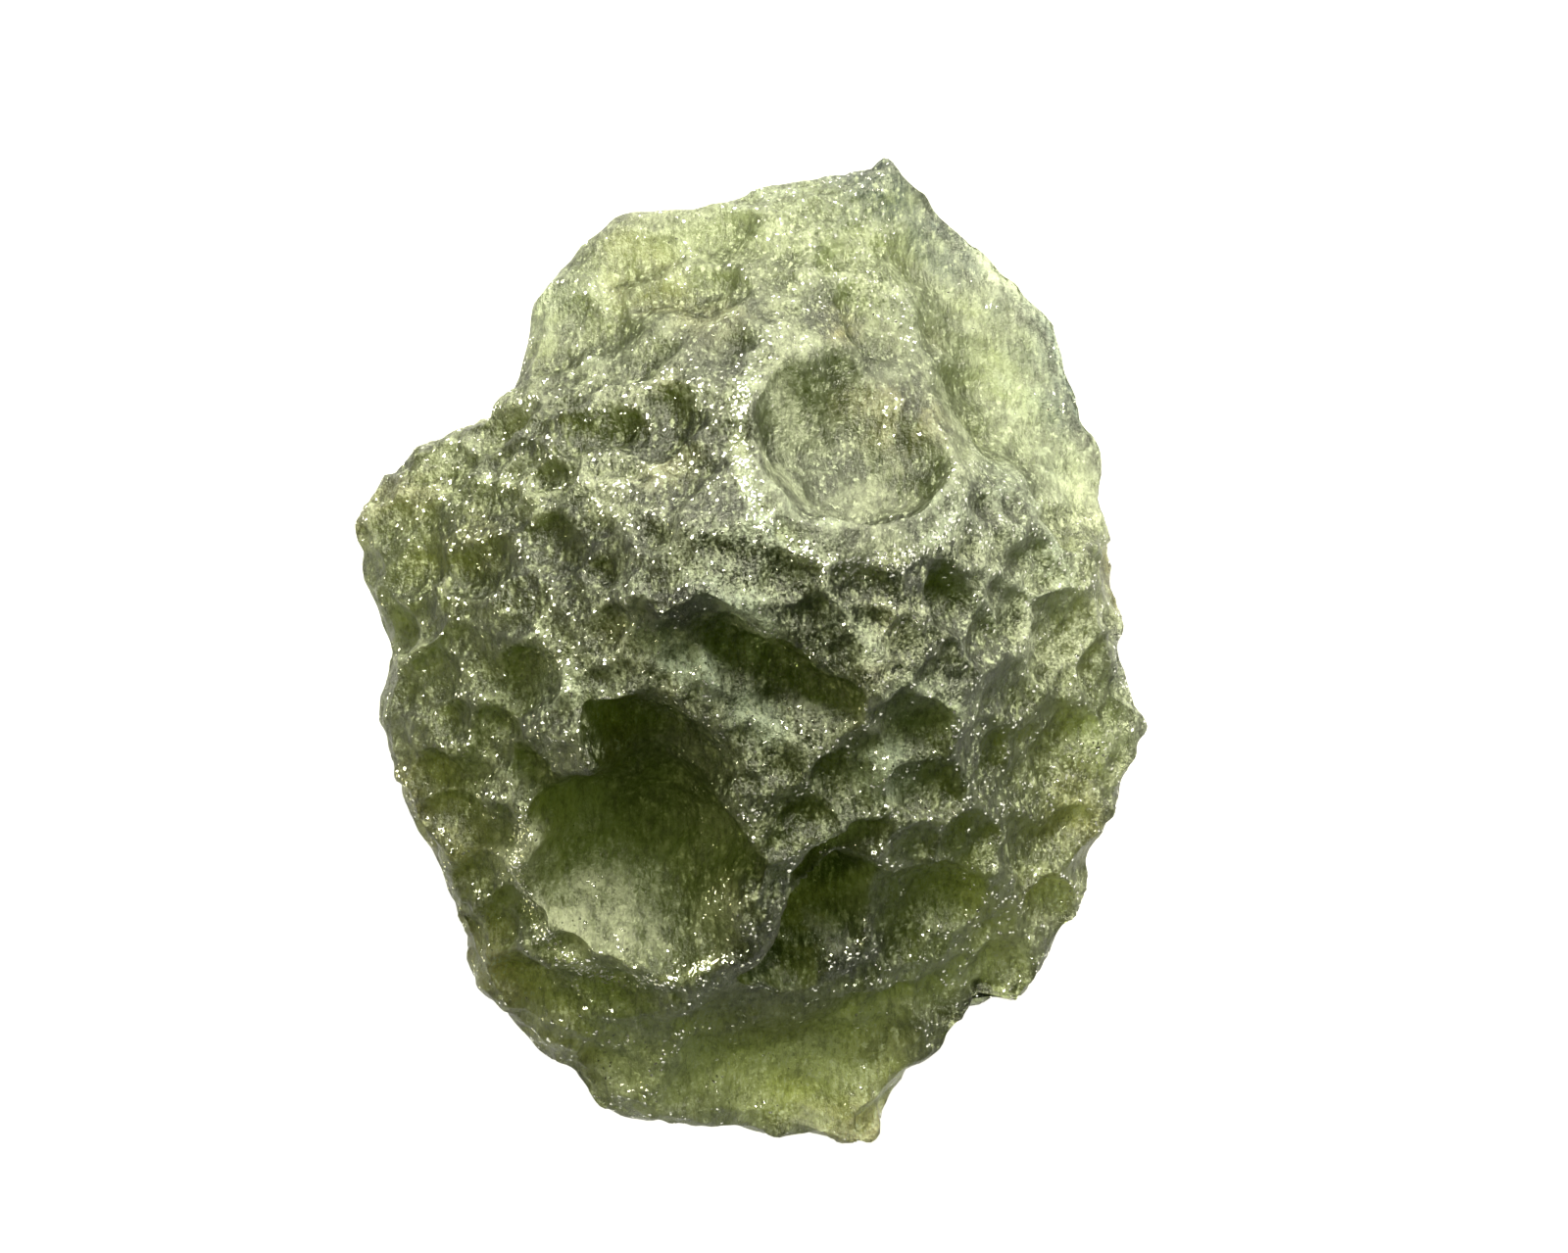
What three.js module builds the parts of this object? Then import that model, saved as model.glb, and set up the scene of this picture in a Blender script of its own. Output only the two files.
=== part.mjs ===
// Raw moldavite: one lump of green natural glass, pitted all over by etching.
// It lies on its flattest side. Seen from above it has a thin pointed end towards +Y,
// a thick pitted body with two open cups, and a lower shelf towards -Y.
// A soft-edged blank is shaped first, and then scoops are carved out of it,
// each one a bowl with an axis of its own, so that neighbours meet in sharp ridges.

import * as THREE from 'three';
import { mergeVertices } from 'three/addons/utils/BufferGeometryUtils.js';

// Driving dimensions, in millimetres and degrees. Z is up, and Z = 0 is the resting face.
const HEIGHT = 12; // highest ground before carving
const HEART = new THREE.Vector2(-0.1, -0.9); // point inside the outline that the stone is shaped round
const EDGE_POWER = 2.4; // how square the section's upper half is: 2 is an ellipse
const UNDER_POWER = 1.9; // the same for its lower half
const MESH_DETAIL = 19; // rows of facets on each side of the starting icosahedron
const UPWARD_PULL = 0.25; // how much closer together the facets are on the upper side
const SPREAD_ROUNDS = 12; // how many times the facets are evened out between the two carvings
const OUTLINE_GROWTH = 0.12; // room for the scoops that nibble the edge
const RIPPLE_FADE = 0.55; // share of the way out at which the outline's corners begin to show
const BEND_SHARE = 0.22; // how far a scoop's rim wanders, as a share of its half width
const BEND_LIMIT = 0.22;
const BLUNT = 0.04; // rounding of a scoop's rim
const LARGE_BOWL = 1.6; // half length from which a scoop is carved before all smaller ones
const DEEPEST_PUSH = 2.2; // most that a smaller scoop moves the skin, as a share of its depth
const HAND_DEPTH = 0.92; // share of the depth given below that the smaller scoops are carved to
const HAND_GROWTH = 1.2; // how much wider they are than given below, so that they run together
const EASING = 0.2; // share of the way that each corner moves to the middle of its neighbours
const BED_DROP = 0.9; // how far the belly would reach below the resting face if it were not worn flat

// Outline seen from above, clockwise from the tip: corner x, y, and how far the edge
// between this corner and the next one bows in (or out, if negative).
const OUTLINE = [
  [3.2, 11.9, -0.14], [4.3, 10.7, 0], [5.9, 9.2, -0.07], [7.4, 7.7, 0.15],
  [8.4, 5.1, -0.07], [8.3, 3.2, -0.05], [9.0, 1.4, 0.05], [8.8, 0.2, 0.02],
  [9.3, -2.0, 0.02], [8.5, -4.0, 0.12], [8.0, -5.8, 0], [7.2, -7.0, -0.02],
  [5.8, -9.2, 0.16], [4.1, -9.9, 0], [3.6, -11.3, -0.12], [2.7, -12.0, 0.05],
  [1.6, -11.7, 0.02], [0.7, -11.8, -0.02], [-0.7, -11.5, 0.07], [-2.0, -11.6, 0.07],
  [-3.4, -10.9, -0.09], [-4.1, -10.0, 0.02], [-5.2, -9.4, 0.14], [-6.0, -8.5, -0.07],
  [-6.8, -7.2, -0.05], [-7.2, -5.8, 0.09], [-8.1, -4.4, -0.05], [-8.5, -2.5, 0.05],
  [-8.7, -1.6, -0.05], [-8.6, 0.0, 0.07], [-9.1, 1.5, 0], [-9.3, 3.0, -0.05],
  [-8.0, 4.9, 0.07], [-6.7, 5.4, 0], [-6.1, 6.0, 0], [-5.6, 6.3, -0.07],
  [-5.1, 8.5, -0.05], [-3.4, 10.2, -0.07], [-1.6, 10.6, 0.05],
];
const ARC_STEPS = 6; // straight steps on each bowed edge

// Height of the stone's widest line round the outline: direction in degrees, height.
const WAIST = [
  [-175, 5.6], [-130, 5.2], [-90, 4.2], [-55, 3.8], [-10, 3.9],
  [30, 3.8], [85, 3.0], [110, 3.8], [128, 4.8], [155, 5.4],
];

// Ground on the upper side before carving: x, y, height.
const UPPER_REACH = 1.25; // how far one of these points is felt
const UPPER_GROUND = [
  // the peak, and the crest from it to the rim of the upper cup
  [-1.3, 1.5, HEIGHT], [0.0, 2.7, 11.4], [1.9, 2.2, 11.2], [3.7, 2.5, 10.4],
  [0.0, 5.1, 10.2], [0.0, 7.3, 8.6], [5.1, 4.9, 9.6], [6.7, 2.9, 8.0],
  // left flank
  [-3.0, 6.2, 8.6], [-3.9, 4.0, 9.8], [-6.7, 3.6, 8.2], [-8.6, 2.8, 6.8],
  [-4.9, 0.9, 10.4], [-7.0, 0.5, 9.2], [-7.4, -1.8, 8.6], [-3.9, -0.9, 10.6],
  [-6.7, -3.2, 8.9],
  // round the lower cup
  [-5.2, -4.4, 9.4], [-4.8, -6.6, 9.0], [-2.3, -7.8, 8.6], [0.7, -3.0, 9.2],
  [0.0, -1.8, 9.9], [0.3, -5.6, 9.1],
  // right flank
  [3.0, -0.2, 10.6], [5.3, 2.8, 9.6], [5.3, -0.7, 9.4], [6.3, 2.1, 9.0],
  [7.7, 1.4, 7.0], [7.4, -0.9, 6.8], [4.4, -4.2, 8.6], [7.1, -3.7, 5.9],
  [8.4, -1.8, 5.0],
  // lower shelf
  [-6.5, -7.0, 7.4], [-3.9, -8.9, 7.0], [-1.9, -10.4, 5.6], [2.6, -7.0, 6.8],
  [1.2, -9.7, 5.6], [5.3, -7.4, 5.8], [6.5, -7.9, 4.8], [3.0, -10.9, 4.8],
  // thin upper plate
  [-4.2, 8.4, 5.8], [-1.6, 9.3, 6.0], [1.2, 9.1, 6.4], [3.0, 10.9, 4.6],
  [4.9, 8.6, 5.4], [6.7, 6.5, 5.0], [7.4, 4.7, 4.6],
];

// Ground on the underside: x, y, height, before the belly is worn flat.
const UNDER_REACH = 2.6;
const UNDER_GROUND = [
  [0, -2, 0], [-4, 2, 0.1], [-5, -5, 0.4], [3, -7, 0.3], [5, -2, 0.3], [2, 2, -0.2],
  [0, -5, -0.3], [0, 6, 0.8], [5, 6, 0.9], [3, 10.5, 1.6], [-3, 8.5, 1.5],
  [-8, 3, 1.6], [-7, -4, 1.4], [1, -10.5, 1.9], [7, -1.5, 1.3],
];

// Scoops on the upper side: x, y, half length, half width, turn, depth,
// then where they differ from upright, how far the axis leans to x and to y,
// and how flat the floor is (1 is a bowl).
const CUPS = [
  [2.5, 5.1, 3.3, 2.8, 80, 2.4, 0.05, 0.35],
  [-2.6, -4.8, 2.9, 2.8, 80, 2.8, 0, -0.1],
  [-2.3, -2.5, 2.1, 1.8, 100, 1.8, 0, -0.35],
];
const DARK_HOLLOW = [
  [1.6, -6.45, 2.3, 1.25, 46, 2.0, 0.1, -0.2],
  [4.2, -5.8, 1.9, 1.5, 20, 0.9, 0.1, -0.2],
];
const SHOULDER = [
  [6.8, 7.7, 6.3, 2.7, -58, 1.2, -0.35, -0.25, 1.8],
  [6.6, 5.9, 3.2, 1.5, -58, 0.9, -0.2, -0.1, 2.2],
  [3.0, 9.8, 2.2, 1.4, -50, 0.4], [1.9, 9.3, 0.8, 0.6, 60, 0.3, 0, 0.5],
];
const PEAK_HOLLOWS = [
  [-1.5, 0.1, 1.7, 0.75, 57, 0.9, 0, -0.2], [-0.3, -0.1, 2.0, 0.85, -45, 1.1, 0.05, -0.3],
  [1.0, -0.7, 1.2, 0.9, -35, 0.7],
  [1.0, -0.1, 0.3, 0.3, 0, 0.25], [0.7, 1.4, 0.9, 0.7, 0, 0.5], [-0.2, 1.4, 0.6, 0.5, 0, 0.3],
];
const LOWER_HOLLOWS = [
  [1.9, -4.9, 1.3, 0.6, 40, 1.2],
  [1.0, -3.8, 0.8, 0.7, 0, 0.6], [3.1, -8.7, 1.4, 0.5, 35, 0.8], [1.5, -9.9, 2.6, 1.4, 8, 1.1],
  [-0.7, -10.1, 1.5, 0.7, 10, 0.6], [-3.0, -8.2, 1.1, 0.8, 0, 0.7], [-0.8, -8.7, 1.4, 0.8, 0, 0.6],
  [-5.3, -7.9, 1.3, 0.8, -20, 0.7], [-4.2, -7.0, 0.7, 0.4, -30, 0.4],
  [-3.3, -9.7, 1.1, 0.8, -20, 0.6], [0.7, -11.4, 1.6, 0.5, 0, 0.4], [2.8, -11.1, 1.0, 0.7, 0, 0.4],
];
const RIGHT_SCALLOPS = [
  [7.3, 0.1, 1.2, 1.1, 0, 0.7], [5.8, -2.4, 0.9, 0.8, 0, 0.7], [3.6, -1.8, 1.2, 1.0, -10, 0.8],
  [5.3, 0.2, 0.9, 0.7, 0, 0.6], [4.5, 1.3, 0.8, 0.7, 0, 0.7], [2.6, 0.5, 0.6, 0.5, 0, 0.5],
  [2.5, 1.4, 0.7, 0.6, 0, 0.5], [6.9, -4.7, 1.1, 1.0, 0, 0.6], [7.3, -2.4, 1.0, 1.2, 0, 0.6],
  [8.4, -0.9, 0.8, 1.2, 0, 0.4], [6.0, -7.9, 1.0, 0.9, 30, 0.7], [4.8, -8.1, 1.2, 0.8, 30, 0.6],
  [7.1, -6.3, 1.0, 0.7, 40, 0.5], [7.9, -3.0, 0.7, 1.0, 0, 0.4], [6.7, 2.0, 0.9, 0.7, 0, 0.5],
  [4.4, -0.7, 0.7, 0.7, 0, 0.4], [2.3, -3.1, 1.0, 0.9, 0, 0.6], [4.1, -3.2, 0.9, 0.8, 20, 0.6],
  [5.1, -4.9, 1.2, 1.1, 0, 0.7], [6.3, -0.9, 0.7, 0.7, 0, 0.4], [5.3, 3.7, 0.6, 0.7, 0, 0.5],
];
const LEFT_TERRACES = [
  [-8.0, 2.1, 0.9, 0.8, 20, 0.6], [-6.3, 1.9, 0.9, 0.8, 0, 0.7], [-4.6, 2.3, 1.1, 0.9, 0, 0.7],
  [-2.3, 2.7, 0.6, 0.5, 0, 0.4], [-5.5, -0.6, 1.3, 0.9, 8, 0.9], [-7.3, -0.7, 0.9, 0.7, 0, 0.5],
  [-8.3, -0.9, 0.7, 0.9, 0, 0.4], [-7.0, -1.5, 0.7, 0.5, 0, 0.5], [-5.8, -2.0, 0.7, 0.5, 0, 0.5],
  [-7.0, -2.9, 1.2, 0.7, 15, 0.8], [-6.7, -4.1, 1.6, 0.8, 6, 0.9], [-5.8, -6.4, 0.8, 0.9, 0, 0.8],
  [-6.3, -5.3, 1.1, 0.7, -20, 0.5], [-8.1, 0.7, 1.0, 0.8, 0, 0.5], [-5.5, 0.5, 0.7, 0.5, 0, 0.3],
  [-3.5, 0.5, 0.7, 0.6, 0, 0.5], [-3.4, 1.8, 0.7, 0.6, 0, 0.5], [-4.9, -3.0, 0.8, 0.6, 0, 0.5],
];
const PLATE_DISHES = [
  [-3.8, 5.1, 1.0, 0.6, 5, 0.6], [-2.0, 5.1, 1.1, 0.7, 5, 0.6], [-0.5, 5.1, 0.5, 0.4, 0, 0.4],
  [-0.9, 5.9, 0.6, 0.5, 0, 0.4], [-5.9, 5.4, 0.9, 0.6, 10, 0.5], [-7.6, 4.3, 1.0, 0.8, 30, 0.5],
  [-5.3, 4.2, 0.6, 0.5, 0, 0.3], [-1.6, 3.7, 1.0, 0.6, 15, 0.4], [-3.5, 7.7, 1.3, 0.9, 10, 0.5],
  [-1.6, 8.4, 1.2, 0.9, 0, 0.5], [-4.5, 6.9, 1.1, 0.6, 10, 0.4], [-2.8, 9.4, 1.4, 0.8, 15, 0.5],
  [-0.6, 9.7, 1.2, 0.8, 0, 0.5], [-2.6, 6.7, 0.9, 0.6, 10, 0.4], [-0.8, 7.2, 0.7, 0.6, 0, 0.4],
];
const LARGE_SCOOPS = [...CUPS, ...SHOULDER, ...DARK_HOLLOW];
const SMALLER_SCOOPS = [
  ...PEAK_HOLLOWS, ...LOWER_HOLLOWS, ...RIGHT_SCALLOPS, ...LEFT_TERRACES, ...PLATE_DISHES,
];
const STEEPEST_LEAN = 1.2; // most that a scoop's axis leans for each unit of height

// Scallops strewn over the whole stone.
const STREWN = { count: 560, small: 0.7, large: 1.9, depthShare: 0.19, seed: 3 };
const SPIN_SWING = 1.3; // how far their lengths turn from level, in radians
const EDGE_DEPTH = 0.3; // share of its depth that a scallop keeps at the outline

// Smoother patches of the upper side, where the scallops are shallow: x, y, half length,
// half width, turn and the share of depth that is kept.
const CALM_HEIGHT = 2.6; // lowest point that counts as the upper side
const CALM_PATCHES = [
  [2.5, 5.1, 3.3, 2.9, 80, 0.2], [-2.6, -4.7, 3.3, 3.1, 80, 0.4],
  [6.8, 7.7, 6.0, 2.6, -58, 0.15], [6.6, 5.9, 3.2, 1.6, -58, 0.15],
  [-2.4, 8.6, 3.9, 2.4, 15, 0.4], [1.6, -6.4, 2.1, 1.1, 46, 0.5],
  [1.6, -9.8, 4.4, 1.8, 10, 0.45],
];

const fraction = (value) => value - Math.floor(value);
const scatter = (seed, step, scale) => fraction(Math.sin(seed + step) * scale);
const softStep = (value, low, high) => THREE.MathUtils.smoothstep(value, low, high);

// The outline as rows of direction and distance from the heart, sorted by direction.
function outlineByDirection() {
  const rows = [];
  OUTLINE.forEach(([x, y, bow], i) => {
    const [nextX, nextY] = OUTLINE[(i + 1) % OUTLINE.length];
    const length = Math.hypot(nextX - x, nextY - y);
    for (let k = 0; k < ARC_STEPS; k += 1) {
      const t = k / ARC_STEPS;
      const bowed = bow * 4 * t * (1 - t);
      const px = x + (nextX - x) * t + (bowed * (nextY - y)) / length - HEART.x;
      const py = y + (nextY - y) * t - (bowed * (nextX - x)) / length - HEART.y;
      rows.push([Math.atan2(py, px), Math.hypot(px, py) + OUTLINE_GROWTH]);
    }
  });
  return rows.sort((a, b) => a[0] - b[0]);
}

// Straight-line reading of rows [direction, value] that go once round.
function readRound(rows, direction) {
  const turn = 2 * Math.PI;
  const first = rows[0];
  const last = rows[rows.length - 1];
  const angle = first[0] + (((direction - first[0]) % turn) + turn) % turn;
  const after = rows.findIndex((row) => row[0] > angle);
  const low = after < 0 ? last : rows[after - 1];
  const high = after < 0 ? [first[0] + turn, first[1]] : rows[after];
  const t = (angle - low[0]) / (high[0] - low[0]);
  return low[1] + (high[1] - low[1]) * t;
}

const OUTLINE_ROWS = outlineByDirection();
const WAIST_ROWS = WAIST.map(([degrees, height]) => [THREE.MathUtils.degToRad(degrees), height]);
const SOFTENING = [-15, -10, -5, 0, 5, 10, 15].map(THREE.MathUtils.degToRad);

const outlineRadius = (direction) => readRound(OUTLINE_ROWS, direction);
const waistHeight = (direction) => readRound(WAIST_ROWS, direction);

// Distance from the heart to the edge: rounded further in, with every corner at the edge itself.
function edgeRadius(direction, share) {
  const total = SOFTENING.reduce((sum, step) => sum + outlineRadius(direction + step), 0);
  const t = softStep(share, RIPPLE_FADE, 1);
  return THREE.MathUtils.lerp(total / SOFTENING.length, outlineRadius(direction), t);
}

// Ground height at x, y as a blend of the points given, each felt within its reach.
function groundHeight(points, reach, x, y) {
  let sum = 0;
  let weights = 1e-12;
  for (const [px, py, height] of points) {
    const weight = Math.exp(-((x - px) ** 2 + (y - py) ** 2) / (2 * reach * reach));
    sum += weight * height;
    weights += weight;
  }
  return sum / weights;
}

const upperGround = (x, y) => groundHeight(UPPER_GROUND, UPPER_REACH, x, y);
const lowerGround = (x, y) => groundHeight(UNDER_GROUND, UNDER_REACH, x, y) - BED_DROP;

// Share of its depth that a strewn scallop keeps at a point.
function calmAt({ x, y, z }) {
  if (z <= CALM_HEIGHT) return 1;
  const kept = CALM_PATCHES.map(([px, py, halfLength, halfWidth, degrees, share]) => {
    const turn = THREE.MathUtils.degToRad(degrees);
    const along = ((x - px) * Math.cos(turn) + (y - py) * Math.sin(turn)) / halfLength;
    const across = ((y - py) * Math.cos(turn) - (x - px) * Math.sin(turn)) / halfWidth;
    return THREE.MathUtils.lerp(share, 1, softStep(Math.hypot(along, across), 0.75, 1.05));
  });
  return Math.min(...kept);
}

// Point of the blank for each direction of the unit sphere.
function blankPoint(direction) {
  const across = Math.hypot(direction.x, direction.y);
  const up = Math.abs(direction.z);
  const power = direction.z >= 0 ? EDGE_POWER : UNDER_POWER;
  const size = (across ** power + up ** power) ** (-1 / power);
  const turn = Math.atan2(direction.y, direction.x);
  const radius = edgeRadius(turn, size * across) * size * across;
  const x = HEART.x + radius * Math.cos(turn);
  const y = HEART.y + radius * Math.sin(turn);
  const waist = waistHeight(turn);
  const ground = direction.z >= 0 ? upperGround(x, y) : lowerGround(x, y);
  return new THREE.Vector3(x, y, waist + (ground - waist) * size * up);
}

// Height of the blank's upper side over a point of the plan.
function upperSurface(x, y) {
  const turn = Math.atan2(y - HEART.y, x - HEART.x);
  const distance = Math.hypot(x - HEART.x, y - HEART.y);
  const rough = Math.min(1, distance / outlineRadius(turn));
  const share = Math.min(1, distance / edgeRadius(turn, rough));
  const rise = (1 - share ** EDGE_POWER) ** (1 / EDGE_POWER);
  const waist = waistHeight(turn);
  return waist + (upperGround(x, y) - waist) * rise;
}

// A scoop: a bowl at a point, with an axis and two half lengths across it.
function scoop(at, axis, turn, halfLength, halfWidth, depth, flatness = 1) {
  const up = axis.clone().normalize();
  const east = Math.abs(up.x) < 0.9 ? new THREE.Vector3(1, 0, 0) : new THREE.Vector3(0, 1, 0);
  const a = east.addScaledVector(up, -east.dot(up)).normalize();
  const b = new THREE.Vector3().crossVectors(up, a);
  const along = a.clone().multiplyScalar(Math.cos(turn)).addScaledVector(b, Math.sin(turn));
  const across = b.clone().multiplyScalar(Math.cos(turn)).addScaledVector(a, -Math.sin(turn));
  return { at, up, along, across, halfLength, halfWidth, depth, flatness };
}

function upperScoop([x, y, halfLength, halfWidth, degrees, depth, leanX = 0, leanY = 0, flatness]) {
  const step = 0.25;
  const slopeX = (upperSurface(x + step, y) - upperSurface(x - step, y)) / (2 * step);
  const slopeY = (upperSurface(x, y + step) - upperSurface(x, y - step)) / (2 * step);
  const lean = new THREE.Vector2(leanX - slopeX, leanY - slopeY).clampLength(0, STEEPEST_LEAN);
  const at = new THREE.Vector3(x, y, upperSurface(x, y));
  const turn = THREE.MathUtils.degToRad(degrees);
  return scoop(at, new THREE.Vector3(lean.x, lean.y, 1), turn, halfLength, halfWidth, depth, flatness);
}

// Scallops on a spiral of directions, each square to the blank where it lies.
function strewnScoops({ count, small, large, depthShare, seed }) {
  const golden = Math.PI * (3 - Math.sqrt(5));
  const middle = new THREE.Vector3(HEART.x, HEART.y, 4.5);
  return Array.from({ length: count }, (_, i) => {
    const jitter = scatter(seed, i * 12.9898, 43758.5453) - 0.5;
    const swing = scatter(seed, i * 78.233, 24634.6345) - 0.5;
    const z = THREE.MathUtils.clamp(1 - (2 * (i + 0.5 + jitter)) / count, -0.999, 0.999);
    const turn = i * golden + swing * 0.35;
    const ring = Math.sqrt(1 - z * z);
    const direction = new THREE.Vector3(ring * Math.cos(turn), ring * Math.sin(turn), z);
    const east = new THREE.Vector3(-Math.sin(turn), Math.cos(turn), 0);
    const north = new THREE.Vector3().crossVectors(direction, east);
    const beside = (way, step) => blankPoint(direction.clone().addScaledVector(way, step).normalize());
    const alongEast = beside(east, 0.012).sub(beside(east, -0.012));
    const alongNorth = beside(north, 0.012).sub(beside(north, -0.012));
    const at = blankPoint(direction);
    const up = new THREE.Vector3().crossVectors(alongEast, alongNorth).normalize();
    if (up.dot(at.clone().sub(middle)) < 0) up.negate();
    const size = small + (large - small) * scatter(seed, i * 3.17, 9123.11) ** 2;
    const shape = 0.5 + 0.4 * scatter(seed, i * 5.31, 7131.7);
    const spin = SPIN_SWING * (scatter(seed, i * 1.71, 3571.3) - 0.5);
    const edge = Math.hypot(at.x - HEART.x, at.y - HEART.y)
      / outlineRadius(Math.atan2(at.y - HEART.y, at.x - HEART.x));
    const kept = THREE.MathUtils.lerp(1, EDGE_DEPTH, softStep(edge, 0.78, 0.97)) * calmAt(at);
    const depth = size * depthShare * (0.6 + 0.8 * scatter(seed, i * 2.41, 6151.9)) * kept;
    return scoop(at, up, spin, size, size * shape, depth);
  });
}

// Pushes every point that lies inside the scoop's bowl down onto its floor, along its axis.
function carve(points, { at, up, along, across, halfLength, halfWidth, depth, flatness }) {
  const reach = 1.9 * Math.max(halfLength, halfWidth) + depth;
  const bend = Math.min(BEND_SHARE * Math.min(halfLength, halfWidth), BEND_LIMIT);
  const limit = DEEPEST_PUSH * depth + BLUNT;
  for (const point of points) {
    if (point.distanceToSquared(at) >= reach * reach) continue;
    const away = point.clone().sub(at);
    const wandering = away.clone().add(new THREE.Vector3(
      bend * Math.sin(2.1 * point.y + 1.3 * point.z + at.x),
      bend * Math.sin(1.9 * point.z + 1.5 * point.x + at.y),
      bend * Math.sin(2.3 * point.x + 1.7 * point.y + at.z),
    ));
    const u = wandering.dot(along) / halfLength;
    const v = wandering.dot(across) / halfWidth;
    const out = u * u + v * v;
    if (out >= 3.2) continue;
    const floor = out > 1 ? 2.5 * depth * (out - 1) : depth * (out ** flatness - 1);
    const over = away.dot(up) - floor;
    if (over <= -3 * BLUNT) continue;
    const cut = over > 3 * BLUNT ? over : (over + Math.hypot(over, BLUNT)) / 2;
    point.addScaledVector(up, halfLength < LARGE_BOWL ? -limit * Math.tanh(cut / limit) : -cut);
  }
}

// Middle of the neighbours of every point.
function neighbourMiddles(points, index) {
  const sums = points.map(() => new THREE.Vector3());
  const counts = points.map(() => 0);
  for (let i = 0; i < index.count; i += 3) {
    for (let k = 0; k < 3; k += 1) {
      const from = index.getX(i + k);
      const to = index.getX(i + ((k + 1) % 3));
      sums[from].add(points[to]);
      counts[from] += 1;
    }
  }
  return sums.map((sum, i) => sum.divideScalar(counts[i]));
}

// Outward direction of the skin at every point.
function outwardDirections(points, index) {
  const sums = points.map(() => new THREE.Vector3());
  for (let i = 0; i < index.count; i += 3) {
    const corners = [index.getX(i), index.getX(i + 1), index.getX(i + 2)];
    const [first, second, third] = corners.map((k) => points[k]);
    const face = second.clone().sub(first).cross(third.clone().sub(first));
    corners.forEach((k) => sums[k].add(face));
  }
  return sums.map((sum) => sum.normalize());
}

// Slides every point along the skin to the middle of its neighbours, which evens the facets out.
function spread(points, index) {
  const outward = outwardDirections(points, index);
  const middles = neighbourMiddles(points, index);
  points.forEach((point, i) => {
    const move = middles[i].sub(point);
    move.addScaledVector(outward[i], -move.dot(outward[i]));
    point.addScaledVector(move, 0.7);
  });
}

// Moves every point a little towards the middle of its neighbours, which evens the steep walls.
function ease(points, index) {
  const middles = neighbourMiddles(points, index);
  points.forEach((point, i) => point.lerp(middles[i], EASING));
}

// A direction drawn towards the top, so that the facets lie closer together there.
function pulledUp({ x, y, z }) {
  const share = 1 + UPWARD_PULL * z;
  const flat = Math.sqrt(1 - UPWARD_PULL ** 2) / share;
  return new THREE.Vector3(x * flat, y * flat, (z + UPWARD_PULL) / share);
}

function stoneGeometry() {
  const ball = new THREE.IcosahedronGeometry(1, MESH_DETAIL);
  ball.deleteAttribute('normal');
  ball.deleteAttribute('uv');
  const geometry = mergeVertices(ball, 1e-5);
  const position = geometry.getAttribute('position');
  const index = geometry.getIndex();
  const points = Array.from({ length: position.count }, (_, i) => (
    blankPoint(pulledUp(new THREE.Vector3().fromBufferAttribute(position, i).normalize()))
  ));
  LARGE_SCOOPS.map(upperScoop).forEach((cutter) => carve(points, cutter));
  for (let round = 0; round < SPREAD_ROUNDS; round += 1) spread(points, index);
  const smaller = SMALLER_SCOOPS.map(([x, y, halfLength, halfWidth, degrees, depth, ...rest]) => (
    upperScoop([x, y, halfLength * HAND_GROWTH, halfWidth * HAND_GROWTH, degrees,
      depth * HAND_DEPTH, ...rest])
  ));
  for (const cutter of [...strewnScoops(STREWN), ...smaller]) carve(points, cutter);
  ease(points, index);
  // The belly is worn flat where it rests.
  points.forEach((point, i) => position.setXYZ(i, point.x, point.y, Math.max(point.z, 0)));
  // The origin lies on the resting face, in the middle of the stone's length and width.
  geometry.computeBoundingBox();
  const middle = geometry.boundingBox.getCenter(new THREE.Vector3());
  geometry.translate(-middle.x, -middle.y, 0);
  geometry.computeVertexNormals();
  return geometry;
}

const glass = new THREE.MeshStandardMaterial({ color: 0x6f7a3e, roughness: 0.4, metalness: 0 });
const stone = new THREE.Mesh(stoneGeometry(), glass);
stone.name = 'moldavite';

const model = new THREE.Group();
model.add(stone);

export default model;
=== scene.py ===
"""Raw moldavite: one lump of olive-green natural glass, lying on a pale surface.

Etching has left scallops and pits all over the stone's skin, with sharp ridges between them.
The lump is shaped as the part's own solid is: a soft-edged blank, from which bowls are carved
one after another.  Here the same bowls, and finer ones, are carved into a much closer mesh.

Lengths are in millimetres while the stone is shaped, and in metres in the finished mesh.
"""
from __future__ import annotations

import logging
import math
from dataclasses import dataclass
from enum import Enum
from functools import cached_property

import bmesh
import bpy
import numpy as np
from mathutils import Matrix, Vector, noise
from mathutils.kdtree import KDTree


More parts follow.
